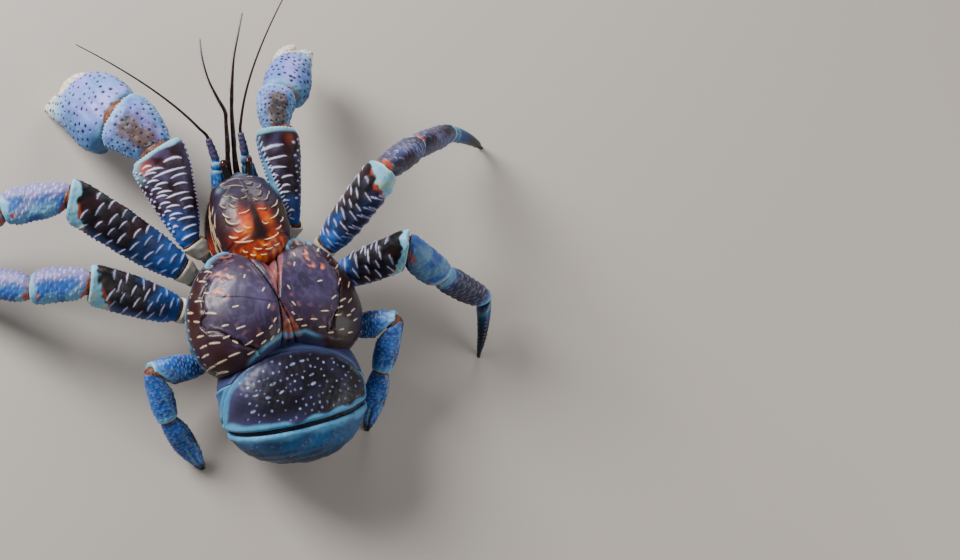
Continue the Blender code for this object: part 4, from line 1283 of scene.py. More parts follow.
def plate(name, mesh, points, masks, cuts, mat, nodes):
    """Slice a shaped ball down to one plate and hang it on the frame."""
    mesh = mesh.copy()
    mesh.vertices.foreach_set("co", points.ravel())
    for key, values in masks.items():
        put(mesh, key, np.clip(values, 0, 1))
    bm = bmesh.new()
    bm.from_mesh(mesh)
    for spot, normal in cuts:
        bmesh.ops.bisect_plane(bm, geom=list(bm.verts) + list(bm.edges) + list(bm.faces),
                               dist=0.01, plane_co=Vector(spot), plane_no=Vector(normal),
                               clear_outer=True)
        edges = [e for e in bm.edges if e.is_boundary]
        bmesh.ops.holes_fill(bm, edges=edges, sides=0)
    bmesh.ops.remove_doubles(bm, verts=bm.verts, dist=0.01)
    bmesh.ops.recalc_face_normals(bm, faces=bm.faces)
    bm.to_mesh(mesh)
    bm.free()
    mesh.update()
    kept = {key: read(mesh, key) for key in masks}
    finish_piece(name, coords(mesh), mesh, kept, mat, nodes)
    mesh.set_sharp_from_angle(angle=SHARP)


# %% [markdown]
# Grooves and pale dashes are drawn as seen from above: the distance to a line of points gives a
# groove, a list of dashes gives crests, and bristles stand at the skin's nearest points.

# %% Lines, dashes and tufts in plan
def path_distance(p, line):
    """Distance in plan from points to a polyline."""
    best = np.full(len(p), 1e9)
    for a, b in zip(line, line[1:]):
        a, b = np.array(a, float), np.array(b, float)
        d = b - a
        f = np.clip(((p[:, :2] - a) @ d) / (d @ d), 0, 1)
        best = np.minimum(best, np.linalg.norm(p[:, :2] - a - f[:, None] * d, axis=1))
    return best


def dashes(p, rows, width=0.75):
    """Crest mask of strokes in plan; rows are (x, y, half length, degrees, bow)."""
    crest = np.zeros(len(p))
    for sx, sy, half, degrees, *bow in rows:
        near = (np.abs(p[:, 0] - sx) < half + 4) & (np.abs(p[:, 1] - sy) < half + 4)
        c, s = math.cos(math.radians(degrees)), math.sin(math.radians(degrees))
        dx, dy = p[near, 0] - sx, p[near, 1] - sy
        q = (dx * c + dy * s) / (half + 0.4)
        r = -dx * s + dy * c
        if bow:
            r = r - bow[0] * (1 - q ** 2)
        taper = width * np.sqrt(np.clip(1 - q ** 2, 0, 1)) + 0.02
        stroke = (1 - step(np.abs(r) / taper, 0.5, 1.0)) * (np.abs(q) < 1)
        crest[near] = np.maximum(crest[near], stroke)
    return crest


def plate_roots(points, ways, wanted, axes=(0, 1), facing=(0.0, 0.0, 1.0)):
    """Tuft roots on a plate: the points of its skin that lie over the wanted places."""
    flat = points[:, list(axes)]
    low, size = flat.min(axis=0), np.ptp(flat, axis=0)
    hidden = 1e6 * (ways @ np.array(facing) < 0.05)
    roots = []
    for spot in wanted:
        aim = np.array(spot) + rng.uniform(-0.5, 0.5, 2)
        k = int(np.argmin(((flat - aim) ** 2).sum(axis=1) + hidden))
        roots.append((points[k], ways[k], *((flat[k] - low) / size)))
    return roots


# %% [markdown]
# The gill covers: two great slate lobes crossed by an X of fine seams. All four plates come from
# one dome. Its plan is an outline with the corners rubbed off, and a second table says how much
# of that is left at each height.

# %% The dome of the back
PLAN = [(0, 27), (10, 37), (22, 41), (34, 37), (46, 26), (54, 12), (58, -3), (58.5, -16),
        (54, -30), (44, -39), (32, -42), (20, -40), (9, -34), (0, -30)]
DOME = [(38.0, 0.84), (42, 0.93), (47, 0.985), (53, 1.0), (60, 0.985), (67, 0.93),
        (74, 0.83), (80, 0.68), (84, 0.52), (86.6, 0.34), (88.0, 0.14)]
CROSS = np.array([-2.8, -3.0])
FRONT_LEFT, FRONT_RIGHT = np.array([-8.2, 27.5]), np.array([7.6, 27.5])
REAR_LEFT, REAR_RIGHT = np.array([-1.2, -24.0]), np.array([7.0, -24.0])
DOME_MIDDLE = np.array([-1.0, -3.0, 58.0])
outline = PLAN + [(-x, y) for x, y in PLAN[-2:0:-1]]
dial = np.linspace(-math.pi, math.pi, 721)
plan_radius = np.interp(dial, *plan_of(outline, DOME_MIDDLE))
soft = np.convolve(np.tile(plan_radius[:-1], 3), np.ones(9) / 9, "same")[720:1440]
plan_radius = np.r_[soft, soft[0]]


def plan_reach(dx, dy):
    return np.interp(np.arctan2(dy, dx), dial, plan_radius)


def in_dome(p):
    d = p - DOME_MIDDLE
    scale = table(DOME, p[:, 2])[:, 0]
    top = np.where(p[:, 2] > 88.0, 0.0, 1.0)
    return (np.hypot(d[:, 0], d[:, 1]) < plan_reach(d[:, 0], d[:, 1]) * scale * top) \
        & (p[:, 2] > 38.0)


dome, rays = ball_mesh(150, (1.0, 1.0, 0.8), 0.42)
skin = pushed_out(rays, DOME_MIDDLE, in_dome)
face_out = settled(dome, skin)
x, y, z = skin.T
print("points of the dome:", len(skin))

# %% [markdown]
# The lines of the back are read off the animal. The grooves wander a little, because shell
# grows unevenly and a smooth spline looks drawn.

# %% Seams, grooves and rims of the back
side_groove = [(-34.9, 29.4), (-40.5, 22.9), (-45.3, 13.6), (-47.6, 3.8), (-50.2, -3.5),
               (-50.9, -10.5), (-48, -14), (-42.7, -16), (-36.4, -22.4), (-29, -28), (-21.6, -32.5)]
side_groove_r = [(31.6, 33.5), (35, 26), (39.5, 19), (42.6, 10), (41.6, 0.5), (38.8, -9.5),
                 (35.3, -17), (30.6, -23), (28.0, -27.3)]
hairline = [(-45.3, 13.6), (-35.6, 6.0), (-24.5, 2.5), (-14.8, -1.8), (-5.0, -6.0)]
arch_left = [(-37.5, 31.0), (-34.4, 35.2), (-28.5, 38.6), (-22.5, 38.6), (-18.5, 35.5)]
arch_right = [(14.5, 31.0), (17.0, 35.2), (23.0, 37.8), (29.5, 36.8), (33.0, 32.8)]
rear_rim = [(-29.7, -38.5), (-17.7, -31.3), (-11.1, -28.6), (-4.1, -25.4), (5.4, -26.9),
            (10.5, -27.2), (17.2, -31.1), (29.4, -35.9), (39, -37.2)]
crossing = np.minimum.reduce([path_distance(skin, [CROSS, CROSS + way * 1.6]) for way in
                              (FRONT_LEFT, FRONT_RIGHT, REAR_LEFT, REAR_RIGHT)])
upper = step(z, 44, 52)
wander = np.column_stack([rough(skin, 5.0, 44), rough(skin, 5.0, 45), np.zeros(len(skin))])
bent = skin + 0.95 * wander * upper[:, None]
groove = np.minimum(path_distance(bent, side_groove), path_distance(bent, side_groove_r)) \
    + 1.5 * (1 - upper)
hair = path_distance(skin, hairline)
arch = np.minimum(path_distance(skin, arch_left), path_distance(skin, arch_right))
behind = np.minimum(path_distance(skin, [(px, py - 4.2) for px, py in arch_left[1:-1]]),
                    path_distance(skin, [(px, py - 4.2) for px, py in arch_right[1:-1]]))
rim_behind = path_distance(skin, [(px, py + 0.8) for px, py in rear_rim])
print("the grooves wander by up to, mm:", round(float(0.95 * np.abs(wander).max()), 1))

# %% [markdown]
# The cream dashes are raised scars; a row gives the place, half the length and the turn in
# degrees. The orange clusters are worn, pitted shell. The flanks, which a plan can't show, get
# dashes strewn in side view.

# %% Dashes and clusters of the back
DASHES = [(-38.3, 27.6, 1.4, -30), (-43.3, 21.8, 1.5, -38), (-49.1, 9.3, 1.4, -20),
          (-54.7, 4.4, 1.5, -51), (-53.3, -3.3, 1.4, -42), (-44.1, 12.9, 1.4, -42),
          (-19.6, 16.1, 1.0, 65), (-10.8, 4.3, 1.1, 47), (-30.3, -2.1, 1.7, -1),
          (-10.3, -7.3, 1.3, 57), (-8.4, -16.3, 1.2, 47), (-11.9, -20.1, 1.2, 37),
          (-30.2, -16.1, 2.7, 4), (-39, -12.2, 1.8, -8), (-19.7, -23, 2.2, 16),
          (-27.3, -26.6, 2.5, 21), (-45.1, -1.6, 3.1, -28), (-46.4, -13.7, 3.2, -22),
          (-53.5, -13.2, 1.6, -18), (-39.8, -19.3, 1.9, 7), (-35.5, -23.7, 1.7, -39),
          (-11.9, -26.3, 1.5, 37), (-18, -27.8, 1.8, 26), (-47, -20.4, 3.0, -17),
          (-53, -19.9, 1.5, 0), (-52.7, -25.4, 1.4, 3), (-36.8, -30.7, 3.5, 3),
          (-26.7, -32.2, 2.1, 15), (-44.7, -32.1, 3.0, 4), (-49.7, -32.8, 1.4, -2),
          (-43.7, -37.4, 3.0, -12), (-7.1, -22.7, 1.0, 59), (16.6, 24.3, 1.2, -84),
          (14.1, 17.5, 1.3, 63), (5.6, 2.5, 1.3, -76), (5.9, -8.7, 1.4, -62),
          (27.6, 3.2, 1.6, 7), (25.3, -16.9, 2.5, -4), (7.4, -19.2, 1.8, -9),
          (16.8, -20.8, 2.0, -10), (10, -23.3, 1.5, -5), (21.7, -26.3, 2.2, -5),
          (34.3, -8.8, 2.1, 28), (40.7, -10.9, 2.3, 21), (41.5, 1.4, 2.5, 56),
          (49.3, -0.1, 2.8, 56), (37, -15.6, 2.1, 12), (46.5, -11.5, 2.3, 36),
          (47.2, -17.9, 2.2, 29), (34.3, -20.5, 2.0, 2), (42.8, -21, 2.0, 13),
          (47.8, -24, 2.1, 22), (35, -29.4, 1.9, 3), (42, -31.5, 1.9, 6),
          (27.2, -30.3, 1.7, -3), (35.9, 27, 2.7, 43), (42.9, 23, 3.0, 39),
          (45.2, 13.6, 2.6, 43), (4.2, -14.5, 1.1, -51), (1, -18.3, 1.0, -64)]
CLUSTERS = [(-34.6, 20.7, 2.6), (-32.8, 16.6, 1.8), (-29.1, 18.4, 2.0), (-37.5, 9.8, 2.4),
            (-35, 6.7, 1.8), (24.2, 20.2, 2.2), (25.4, 15.0, 2.2), (32.1, 13.4, 2.0),
            (24.2, 25.5, 1.8), (-28, 34.5, 1.6), (24, 35.5, 1.6)]
cream = dashes(skin, DASHES, 0.66) * upper
clusters = np.maximum.reduce([bell(np.hypot(x - cx, y - cy), r) for cx, cy, r in CLUSTERS])
side_rows = [(y0 + rng.uniform(-2.4, 2.4), z0 + rng.uniform(-1.6, 1.6) + 0.05 * y0,
              rng.uniform(0.3, 1.3), rng.uniform(-80, -20))
             for z0 in (45.5, 50.0, 55.0, 60.5) for y0 in np.arange(-34, 32, 5.8)]
side_dashes = dashes(skin[:, 1:], side_rows, 0.45) * step(np.abs(x), 34, 46)
print("cream dashes on the back:", len(DASHES), "and on its flanks:", len(side_rows))

# %% [markdown]
# The relief is one sum: furrows are bells taken away, and rims, dashes and soft swells are added.
# So each can be turned up or down alone.

# %% Relief of the back
mottle = rough(skin, 3.0, 41)
cloud = rough(skin, 16.0, 42)
high = step(z, 52, 60)
lift = (-1.1 * bell(crossing, 0.8) * upper + 0.4 * bell(crossing - 2.4, 1.6) * upper
        - bell(groove, 0.75) + 0.35 * bell(groove - 2.2, 1.5) - 0.22 * bell(hair, 0.45)
        + 0.3 * cream - 0.45 * clusters * (0.5 + 0.5 * mottle) * upper
        + 1.5 * bell(arch, 1.2) * high - 1.3 * bell(behind, 1.5) * high
        + 0.5 * bell(z - 43, 2.6) + 0.02 * mottle + 0.25 * cloud + 0.3 * bell(rim_behind, 1.2)
        + 0.3 * side_dashes + 0.10 * mottle * step(-z, -58, -50))
shape = skin + face_out * lift[:, None]
print("relief of the back, mm:", round(float(lift.min()), 1), "to", round(float(lift.max()), 1))

# %% [markdown]
# The slate lobes turn maroon towards their margins, and a pink wedge lies before the crossing.
# The regions come from the same lines, so that a colour ends where a groove runs.

# %% Regions of the back
outer = np.maximum(step(-x, 36, 52), step(x, 34, 50))
beyond_left = bent[:, 0] < np.interp(bent[:, 1], [-33, -28, -22, -16, -12, 4, 14, 23, 30],
                                     [-21, -29, -36, -43, -51, -47, -45, -40, -35])
beyond_right = bent[:, 0] > np.interp(bent[:, 1], [-27, -23, -17, -9, 0, 10, 19, 26, 33],
                                      [28, 30.6, 35, 38.8, 41.6, 42.6, 39.5, 35, 31.6])
ring = np.hypot(*(skin[:, :2] - DOME_MIDDLE[:2]).T) / plan_reach(x + 1, y + 3)
margin = np.clip(0.75 * (beyond_left | beyond_right) + 0.45 * outer
                 + step(-y + 5 * cloud, 8, 30) * 0.85 + step(ring, 0.86, 1.0) * 0.4, 0, 1)
front_tri = (np.abs(x + 2.8 - 0.17 * (y + 3)) < 0.26 * (y + 3)) & (y > -3)
past = CROSS[1] - y
rear_tri = (past > 0) & (x > CROSS[0] - 0.02 * past) & (x < CROSS[0] + 0.47 * past)
around_lobe = step(np.minimum(np.hypot(x + 22, y - 1), np.hypot(x - 24, y - 2)) + 2.5 * cloud,
                   11, 24)
behind_rim = np.interp(x, [px for px, _ in rear_rim], [py for _, py in rear_rim]) - y
strip = step(behind_rim, 0.4, 1.2) * (x > -30) * step(-x, -26, -18) * upper
print("share of maroon margin:", round(float(margin.mean()), 2))

# %% [markdown]
# Now the masks of the finish get their values. The narrow strip behind the rear rim is grey with
# painted shade along it, so the other colours are taken off it.

# %% Colours of the back
plain = 1 - strip
streak = rough(skin * np.array([1.0, 0.6, 1.0]), 6.0, 43)
masks = {
    "brown": np.clip(np.maximum(margin, 0.42 * around_lobe) * (0.85 + 0.2 * cloud), 0, 1)
    * (1 - front_tri) * plain,
    "pink": np.clip(front_tri + rear_tri * 0.35, 0, 1) * (1 - step(y, 19, 25) * 0.5) * plain,
    # hollow is painted shade behind the arches, behind the rear rim and on the right rear flank
    "hollow": np.maximum.reduce([bell(behind, 2.0) * 0.9, bell(behind_rim - 1.6, 0.8) * strip,
                                 0.4 * beyond_right * step(-y, -16, 8) * upper]),
    "groove": np.maximum(bell(crossing, 0.5) * upper, bell(groove, 0.5)) + 0.5 * bell(hair, 0.35),
    "orange": np.clip(clusters * step(mottle, -0.3, 0.5) * 1.2
                      + rear_tri * step(-y, 14, 21) * (0.5 + 0.3 * mottle)
                      + 0.25 * around_lobe * step(mottle, 0.8, 1.5) * upper * (1 - margin), 0, 1)
    * plain,
    "crescent": strip,
    "pale": np.maximum.reduce([
        bell(arch, 1.1) * step(z, 54, 61), bell(z - 42.5, 1.2) * 0.6,
        bell(rim_behind, 1.15) * 0.85 * upper * step(-x, -24, -13) * step(x, -31, -24),
        bell(z - 52 - 1.5 * cloud, 4.0) * step(-x, 30, 50) * step(y + 40, 0, 20)
        * (0.30 + 0.45 * step(mottle, -0.6, 0.8))]),
    "line": np.maximum(cream * (0.88 + 0.16 * mottle) * plain, 0.65 * side_dashes),
    "vein": 0.13 * bell(streak - 0.2 * mottle, 0.2) * upper + 0.16 * step(cloud, 0.2, 1.2)
    + 0.10 * step(mottle, 0.3, 1.0)}
print("masks of the back:", len(masks))

# %% [markdown]
# The four plates lie between the arms of the X. A normal that points into its plate is turned
# round, so the same few lines serve all four.

# %% The four plates of the back
WEDGES = {"gill_cover_left": (FRONT_LEFT, REAR_LEFT, (-1, 0, 0)),
          "gill_cover_right": (FRONT_RIGHT, REAR_RIGHT, (1, 0, 0)),
          "back_plate_front": (FRONT_LEFT, FRONT_RIGHT, (0, 1, 0)),
          "back_plate_rear": (REAR_LEFT, REAR_RIGHT, (0, -1, 0))}
for name, (first, second, inward) in WEDGES.items():
    cuts = []
    for line in (first, second):
        normal = unit((line[1], -line[0], 0.0))
        cuts.append(cut(np.append(CROSS, 0), normal if normal @ inward <= 0 else -normal))
    plate(name + "_shell", dome, shape, masks, cuts, shell["back"], [name])
bristles("gill_cover_bristles", plate_roots(shape, face_out, [dash[:2] for dash in DASHES] * 2),
         1.1, 0.5, 2, 0.07, (0, -0.9, 0.1))
print("with the back:", len(made))

# %% [markdown]
# The tail is one round form, a slightly squared ball, turned as the animal holds it. Planes part
# it into a dotted dark plate, a soft fold, a blue rear plate, a lilac crescent, side plates and
# the belly.

# %% The form of the tail
TAIL_CENTRE = np.array([1.0, -58.0, 43.0])
TAIL_RADII = np.array([48.5, 45.0, 33.0])
yaw = math.radians(-6.0)
SIDE = np.array([math.cos(yaw), math.sin(yaw), 0.0])
FORE = np.array([-math.sin(yaw), math.cos(yaw), 0.0])
BACK = -FORE
UP = np.array([0.0, 0.0, 1.0])
A_POINT, A_NORMAL = np.array([2.0, -28.0, 78.0]), unit(BACK * 0.63 + UP * 0.77)
B_POINT = np.array([-2.0, -82.5, 70.0])
B_NORMAL = unit(BACK * 0.90 - UP * 0.41 + SIDE * 0.13)
C_POINT = np.array([0.0, 0.0, 31.0])
FOLD = 3.0

tail_ball, rays = ball_mesh(120)


def in_tail(p, scale=1.0):
    d = (p - TAIL_CENTRE) / scale
    x, y, z = d @ SIDE / TAIL_RADII[0], d @ FORE / TAIL_RADII[1], d[:, 2] / TAIL_RADII[2]
    flat = (np.abs(x) ** 2.3 + np.abs(y) ** 2.3) ** (1 / 2.3)
    return flat ** (2 / 0.86) + z ** 2 < 1.0


tail_skin = pushed_out(rays, TAIL_CENTRE, in_tail)
tail_out = settled(tail_ball, tail_skin)
x, y, z = tail_skin.T
to_a = (tail_skin - A_POINT) @ A_NORMAL
to_b = (tail_skin - B_POINT) @ B_NORMAL
across = (tail_skin - TAIL_CENTRE) @ SIDE
backward = (tail_skin - TAIL_CENTRE) @ BACK
wave = rough(tail_skin, 9.0, 51)
fine = rough(tail_skin, 2.5, 52)


def tail_piece(name, node, points, lift, masks, cuts, finish):
    plate(name, tail_ball, points + tail_out * lift[:, None], masks, cuts, shell[finish], [node])


print("points of the tail:", len(tail_skin))

# %% [markdown]
# The back plate is strewn with pale dots, each a pit with a bristle. The larger ones are read off
# the animal; faint ones lie on a loose grid, kept 2.9 mm off, so that they never run together
# into worms.

# %% Dots of the tail
rng = np.random.default_rng(21)
DOTS = [(7, -36), (-2, -39), (4, -38), (14, -39), (20, -41), (-14, -40), (-10, -42), (-21, -44),
        (-15, -47), (-6, -46), (-2, -45), (5, -44), (9, -44), (16, -44), (19, -47), (25, -49),
        (28, -43), (32, -52), (31, -58), (24, -61), (17, -60), (16, -51), (9, -48), (9, -54),
        (2, -55), (-4, -56), (8, -60), (16, -56), (-8, -53), (-12, -53), (-17, -54), (-13, -61),
        (-22, -62), (-29, -58), (-29, -50), (-25, -50), (-14, -67), (-6, -69), (-5, -61),
        (-1, -61), (10, -68), (18, -67), (25, -68), (31, -67), (36, -60), (42, -57), (15, -73),
        (23, -73), (9, -72), (4, -68), (0, -72), (3, -76), (10, -76), (18, -76), (28, -73),
        (-4, -74), (-8, -78), (-14, -72), (-22, -71), (-27, -72), (-33, -68), (-33, -62),
        (-34, -56), (-32, -52), (-25, -38), (-22, -37), (-17, -37), (-5, -37), (27, -39),
        (17, -36), (38, -66), (42, -62), (36, -50), (38, -54), (-36, -47), (-30, -43)]
DOTS = [(x + rng.uniform(-0.5, 0.5), y + rng.uniform(-0.5, 0.5),
         rng.uniform(0.15, 0.45) + (1.1 if rng.uniform() < (0.3 if x < -8 else 0.08) else 0),
         rng.uniform(-5, 25)) for x, y in DOTS]
faint = [(x + rng.uniform(-2.2, 2.2), y + rng.uniform(-2.2, 2.2), rng.uniform(0.1, 0.5),
          rng.uniform(-5, 30)) for x in np.arange(-36, 44, 6.0) for y in np.arange(-77, -33, 5.5)]
faint = [f for f in faint if min(math.hypot(f[0] - d[0], f[1] - d[1]) for d in DOTS) > 2.9]
dots = np.maximum.reduce([dashes(tail_skin, DOTS[::2], 1.15) * 0.85,
                          dashes(tail_skin, DOTS[1::2], 0.85),
                          dashes(tail_skin, faint, 0.7) * 0.5]) * step(z, 50, 58)
dots = dots * step(to_a, 2.5, 5) * step(-to_b, 2.5, 5)
print("dots:", len(DOTS), "faint:", len(faint))

# %% [markdown]
# The plate ends in a raised rim, whose pale blue band is broad on the left and behind, with lilac
# clouds along it.

# %% The back plate of the tail
edge = np.minimum(to_a, -to_b)
lift = 0.8 * bell(edge - 2.0, 1.8) - 0.7 * bell(edge, 0.7) + 0.25 * wave + 0.06 * fine - 0.2 * dots
wide_rim = 2.6 + 1.8 * step(-across, 18, 40) + 1.0 * step(to_b, -14, -4)
band = np.where(to_a < -to_b, 0.10 + 0.9 * step(-across, 14, 32) * step(backward, -16, -2)
                + 0.5 * step(across, 32, 42), 1.0)
tail_piece("tail_plate_back_shell", "tail_plate_back", tail_skin, lift, {
    "pale": (1 - step(edge + 0.9 * wave, wide_rim - 1.6, wide_rim + 0.8)) * band,
    "line": dots * (0.66 + 0.26 * fine),
    "lilac": bell(edge - 4, 5) * 0.55 * step(-across + 0.5 * backward, -10, 30)
    + 0.15 * step(wave, 0.2, 1) + 0.5 * bell(to_a - 1, 2)
    + 0.28 * step(-across - 0.3 * backward, 14, 36)},
    [cut(A_POINT, -A_NORMAL), cut(B_POINT, B_NORMAL)], "tail_dark")

# %% [markdown]
# A fold of dark skin joins the rear plate, which is blue with a pale front edge, specks and faint
# growth rings. The fold is the same form a little smaller, so it lies sunk between its
# neighbours.

# %% The rear plate of the tail and the fold before it
edge = to_b - FOLD
SPECKS = [(rng.uniform(-46, 46), rng.uniform(0, 36), rng.uniform(0.1, 0.7), rng.uniform(-20, 60))
          for _ in range(150)]
specks = dashes(np.column_stack([across, z * 0.8 - backward * 0.5]), SPECKS, 0.55)
lift = (0.9 * bell(edge - 2.4, 2.2) - 0.7 * bell(edge, 0.7) + 0.3 * wave + 0.10 * fine
        - 0.15 * specks + 0.12 * np.sin(to_b * 1.4 + wave) * step(edge, 8, 14))
tail_piece("tail_plate_rear_shell", "tail_plate_rear", tail_skin, lift, {
    "pale": (1 - step(edge + 1.2 * wave, 2.5, 7.0)) * 0.9,
    "dark": step(edge + 3 * wave, 9, 26) * 0.85,
    "line": specks * 0.35 * step(edge, 3, 6) * (0.6 + 0.4 * wave),
    "lilac": 0.3 * step(wave, 0, 1)},
    [cut(B_POINT + B_NORMAL * FOLD, -B_NORMAL), cut(C_POINT, -UP)], "tail_blue")
LAP = 0.1    # mm that the fold is wider than its gap on either side
folds = np.sin(to_b * 5.0)
fold_skin = pushed_out(rays, TAIL_CENTRE, lambda q: in_tail(q, 0.955))
tail_piece("tail_fold_skin", "tail_fold", fold_skin, 0.35 * folds,
           {"pale": step(folds, 0.4, 1) * 0.25},
           [(B_POINT - B_NORMAL * LAP, -B_NORMAL),
            (B_POINT + B_NORMAL * (FOLD + LAP), B_NORMAL), (C_POINT, -UP)], "belly")

# %% [markdown]
# A lilac crescent lies towards the back, and under it on each side a small blue plate with a dark
# notch. They are what is left of the form before the first plane.

# %% The front plate and the side plates of the tail
edge = -to_a
lift = 0.5 * bell(edge - 1.5, 1.3) + 0.12 * wave
mid = TAIL_CENTRE - BACK * 8.0
tail_piece("tail_plate_front_shell", "tail_plate_front", tail_skin, lift, {
    "pale": 1 - step(edge, 1.2, 3.0), "lilac": 0.9, "dark": step(-z, -50, -36) * 0.6},
    [cut(A_POINT, A_NORMAL), cut(C_POINT, -UP), cut(mid, BACK)], "tail_blue")
edge = np.minimum.reduce([-to_a, -to_b, backward + 8.0])
notch = bell(backward - 13, 1.0)
lift = (0.8 * bell(edge - 2.0, 1.8) - 0.6 * bell(edge, 0.8) - notch
        + 0.6 * bell(backward - 16, 1.8) + 0.5 * bell(backward - 10, 1.8))
for node, sign in (("tail_side_left", -1), ("tail_side_right", 1)):
    tail_piece(node + "_shell", node, tail_skin, lift, {
        "pale": 1 - step(edge, 1.6, 3.2) + 0.7 * bell(backward - 16, 2.0)
        + 0.3 * bell(backward - 5, 5),
        "lilac": 0.3 * (1 - step(backward, 12, 14)),
        "dark": step(-z, -42, -34) * 0.5 + notch, "line": specks * 0.2},
        [cut(A_POINT, A_NORMAL), cut(C_POINT, -UP), cut(mid, -BACK), cut(B_POINT, B_NORMAL),
         cut(TAIL_CENTRE, -SIDE * sign)], "tail_blue")

# %% [markdown]
# The belly is leathery skin in cross wrinkles. Two waves that disturb each other are enough for a
# side that faces the floor.

# %% The belly and the bristles of the tail
hairy = [(px, py) for px in np.arange(-34, 37, 5.0) for py in np.arange(-92, -24, 5.0)]
bristles("tail_dots_bristles", plate_roots(tail_skin, tail_out, [dot[:2] for dot in DOTS]),
         1.0, 0.5, 2, 0.07, (0, -0.8, 0.1))
bristles("tail_belly_bristles", plate_roots(tail_skin, tail_out, hairy, facing=(0.0, 0.0, -1.0)),
         1.6, 0.6, 3, 0.07, (0, -0.8, 0))
wrinkle = (0.30 * np.sin(backward * 0.9 + 1.4 * rough(tail_skin, 12.0, 53))
           * (0.6 + 0.4 * np.sin(across * 0.35 + rough(tail_skin, 8.0, 54))) + 0.12 * fine)
tail_piece("tail_belly_skin", "tail_belly", tail_skin, wrinkle,
           {"pale": step(wrinkle, 0, 0.25) * 0.6}, [cut(C_POINT, UP)], "belly")
print("with the tail:", len(made))

# %% [markdown]
# The head shield is an arched plate with a short beak. Its form follows a table of cross-sections
# and is smoothed a few times, because grown shell has no knife edges. The ball starts turned
# upwards, so that the roof gets most of the cells.

# %% The form of the head shield
SHIELD = [(23.0, 7.0, 77.0), (26, 12.5, 80.5), (31, 18.0, 83.0), (38, 22.5, 84.5),
          (47, 25.0, 84.8), (56, 25.0, 83.5), (66, 23.8, 80.8), (74, 21.6, 77.0),
          (81, 19.4, 73.0), (85, 16.6, 70.0), (88, 9.0, 67.6), (91.0, 2.6, 65.6)]
HEAD_MID = -1.5
HEAD_MIDDLE = np.array([HEAD_MID, 55.0, 62.0])


def in_shield(p):
    half, top = table(SHIELD, p[:, 1]).T
    middle = HEAD_MID - (p[:, 1] - 50) * 0.008
    side = np.minimum(58.0, top - 8)
    x = np.abs(p[:, 0] - middle) / np.maximum(half, 0.1)
    roof = side + (top - side) * np.clip(1 - x ** 2, 0, 1) ** 0.4
    base = np.where(p[:, 1] < 84, 46.0, 46 + (p[:, 1] - 84) * 1.6)
    flank = 1 - 0.1 * step(side - p[:, 2], 0, 12)
    return (x < flank) & (p[:, 2] < roof) & (p[:, 2] > base) & (p[:, 1] > 23) & (p[:, 1] < 91)


head_ball, rays = ball_mesh(120, (0.8, 1.0, 0.8), 0.38)
settled(head_ball, pushed_out(rays, HEAD_MIDDLE, in_shield))
bm = bmesh.new()
bm.from_mesh(head_ball)
for _ in range(4):
    bmesh.ops.smooth_vert(bm, verts=bm.verts, factor=0.5, use_axis_x=True, use_axis_y=True,
                          use_axis_z=True)
bm.to_mesh(head_ball)
bm.free()
head_ball.update()
head_skin = coords(head_ball)
head_out = normals(head_ball)
x, y, z = head_skin.T
x = x - HEAD_MID
print("points of the head shield:", len(x))

# %% [markdown]
# The cream crescents are raised scars with a dark hollow behind each, drawn as dashes with a bow.
# The pale lines of the flanks are levels that wave up and down, since they show only in side
# view.

# %% Crescents and lines of the head shield
ARCS = [(-6.8, 59, 3.3, 7, -0.8), (5.1, 58.6, 2.7, -5, -0.6), (-15.1, 55.1, 4.4, -43, -2.3),
        (-7.8, 48.5, 2.3, -32, -1.3), (-13.2, 47.8, 2.4, -28, -1.5), (4.3, 49, 1.8, -19, -1.6),
        (12.1, 54.2, 5.4, 40, -1.9), (15.2, 62, 4.3, 42, -1.3), (6.2, 39.4, 5.9, 18, -1.6),
        (-11.9, 39.8, 5.4, -16, -0.8), (-4.5, 32.9, 2.3, -18, -0.6), (-12, 33.5, 1.4, -40, -0.6),
        (2.7, 31.6, 2.3, 7, -0.5), (-8, 30, 1.4, -27, -0.4), (-12.2, 65.6, 2.4, -50, -0.7),
        (-3.8, 69.5, 1.9, 12, -0.9), (3.2, 66.2, 1.5, -30, -0.7), (6.9, 70.5, 2.5, 41, -0.8),
        (-4.9, 84.1, 5.3, 1, 1.4), (-7.3, 79, 5.9, -12, 0.6), (-13.5, 73.6, 1.8, -26, -0.6),
        (-9.3, 70.7, 2.5, -50, -0.8), (3.5, 79.5, 2.0, 10, -0.7), (8.5, 76, 2.0, 24, -0.7),
        (-1.5, 75, 1.8, -10, -0.6), (10.5, 66.5, 2.2, 46, -0.8), (-17.5, 60, 2.6, -58, -0.8),
        (16.5, 50, 2.4, 48, -0.8), (12.5, 44.5, 2.4, 30, -0.8), (-17, 44.5, 2.4, -34, -0.8),
        (0.5, 34, 1.1, 0, -0.3), (8.5, 33.5, 2.0, 18, -0.5), (-1.5, 28.5, 1.6, -6, -0.3),
        (-17.5, 67, 2.0, -62, -0.6), (13.5, 70, 2.0, 54, -0.6), (-12.5, 83, 2.0, 14, 0.5),
        (6.0, 84.5, 2.0, -10, 0.5)]
FLANK_LINES = ((47.5, 26, 84), (50.4, 26, 80), (53.6, 30, 78), (57.0, 34, 76), (60.6, 32, 74),
               (64.4, 36, 72), (68.0, 42, 66))   # height, start and end of each, in mm
flat = np.column_stack([x, y, z])
arcs = dashes(flat, ARCS, 0.43) * step(z, 54, 60)
behind_arc = dashes(flat + np.array([0, 0.7, 0]), ARCS, 1.3) * step(z, 54, 60)
centre_line = bell(x + 1.0, 0.9) * step(y, 62, 88)
lines = np.zeros(len(x))
for k, (height, start, stop) in enumerate(FLANK_LINES):
    level = height + 1.6 * np.sin(y * 0.10 + 0.8 * k) + 0.05 * (y - 55) * (k - 2)
    lines = np.maximum(lines, bell(z - level, 0.45) * step(y, start, start + 4)
                       * step(-y, -stop, 4 - stop) * step(np.sin(y * 0.21 + 2.1 * k), -0.9, -0.6))
lines = lines * step(np.abs(x) - 0.62 * table(SHIELD, y)[:, 0], 0, 2)
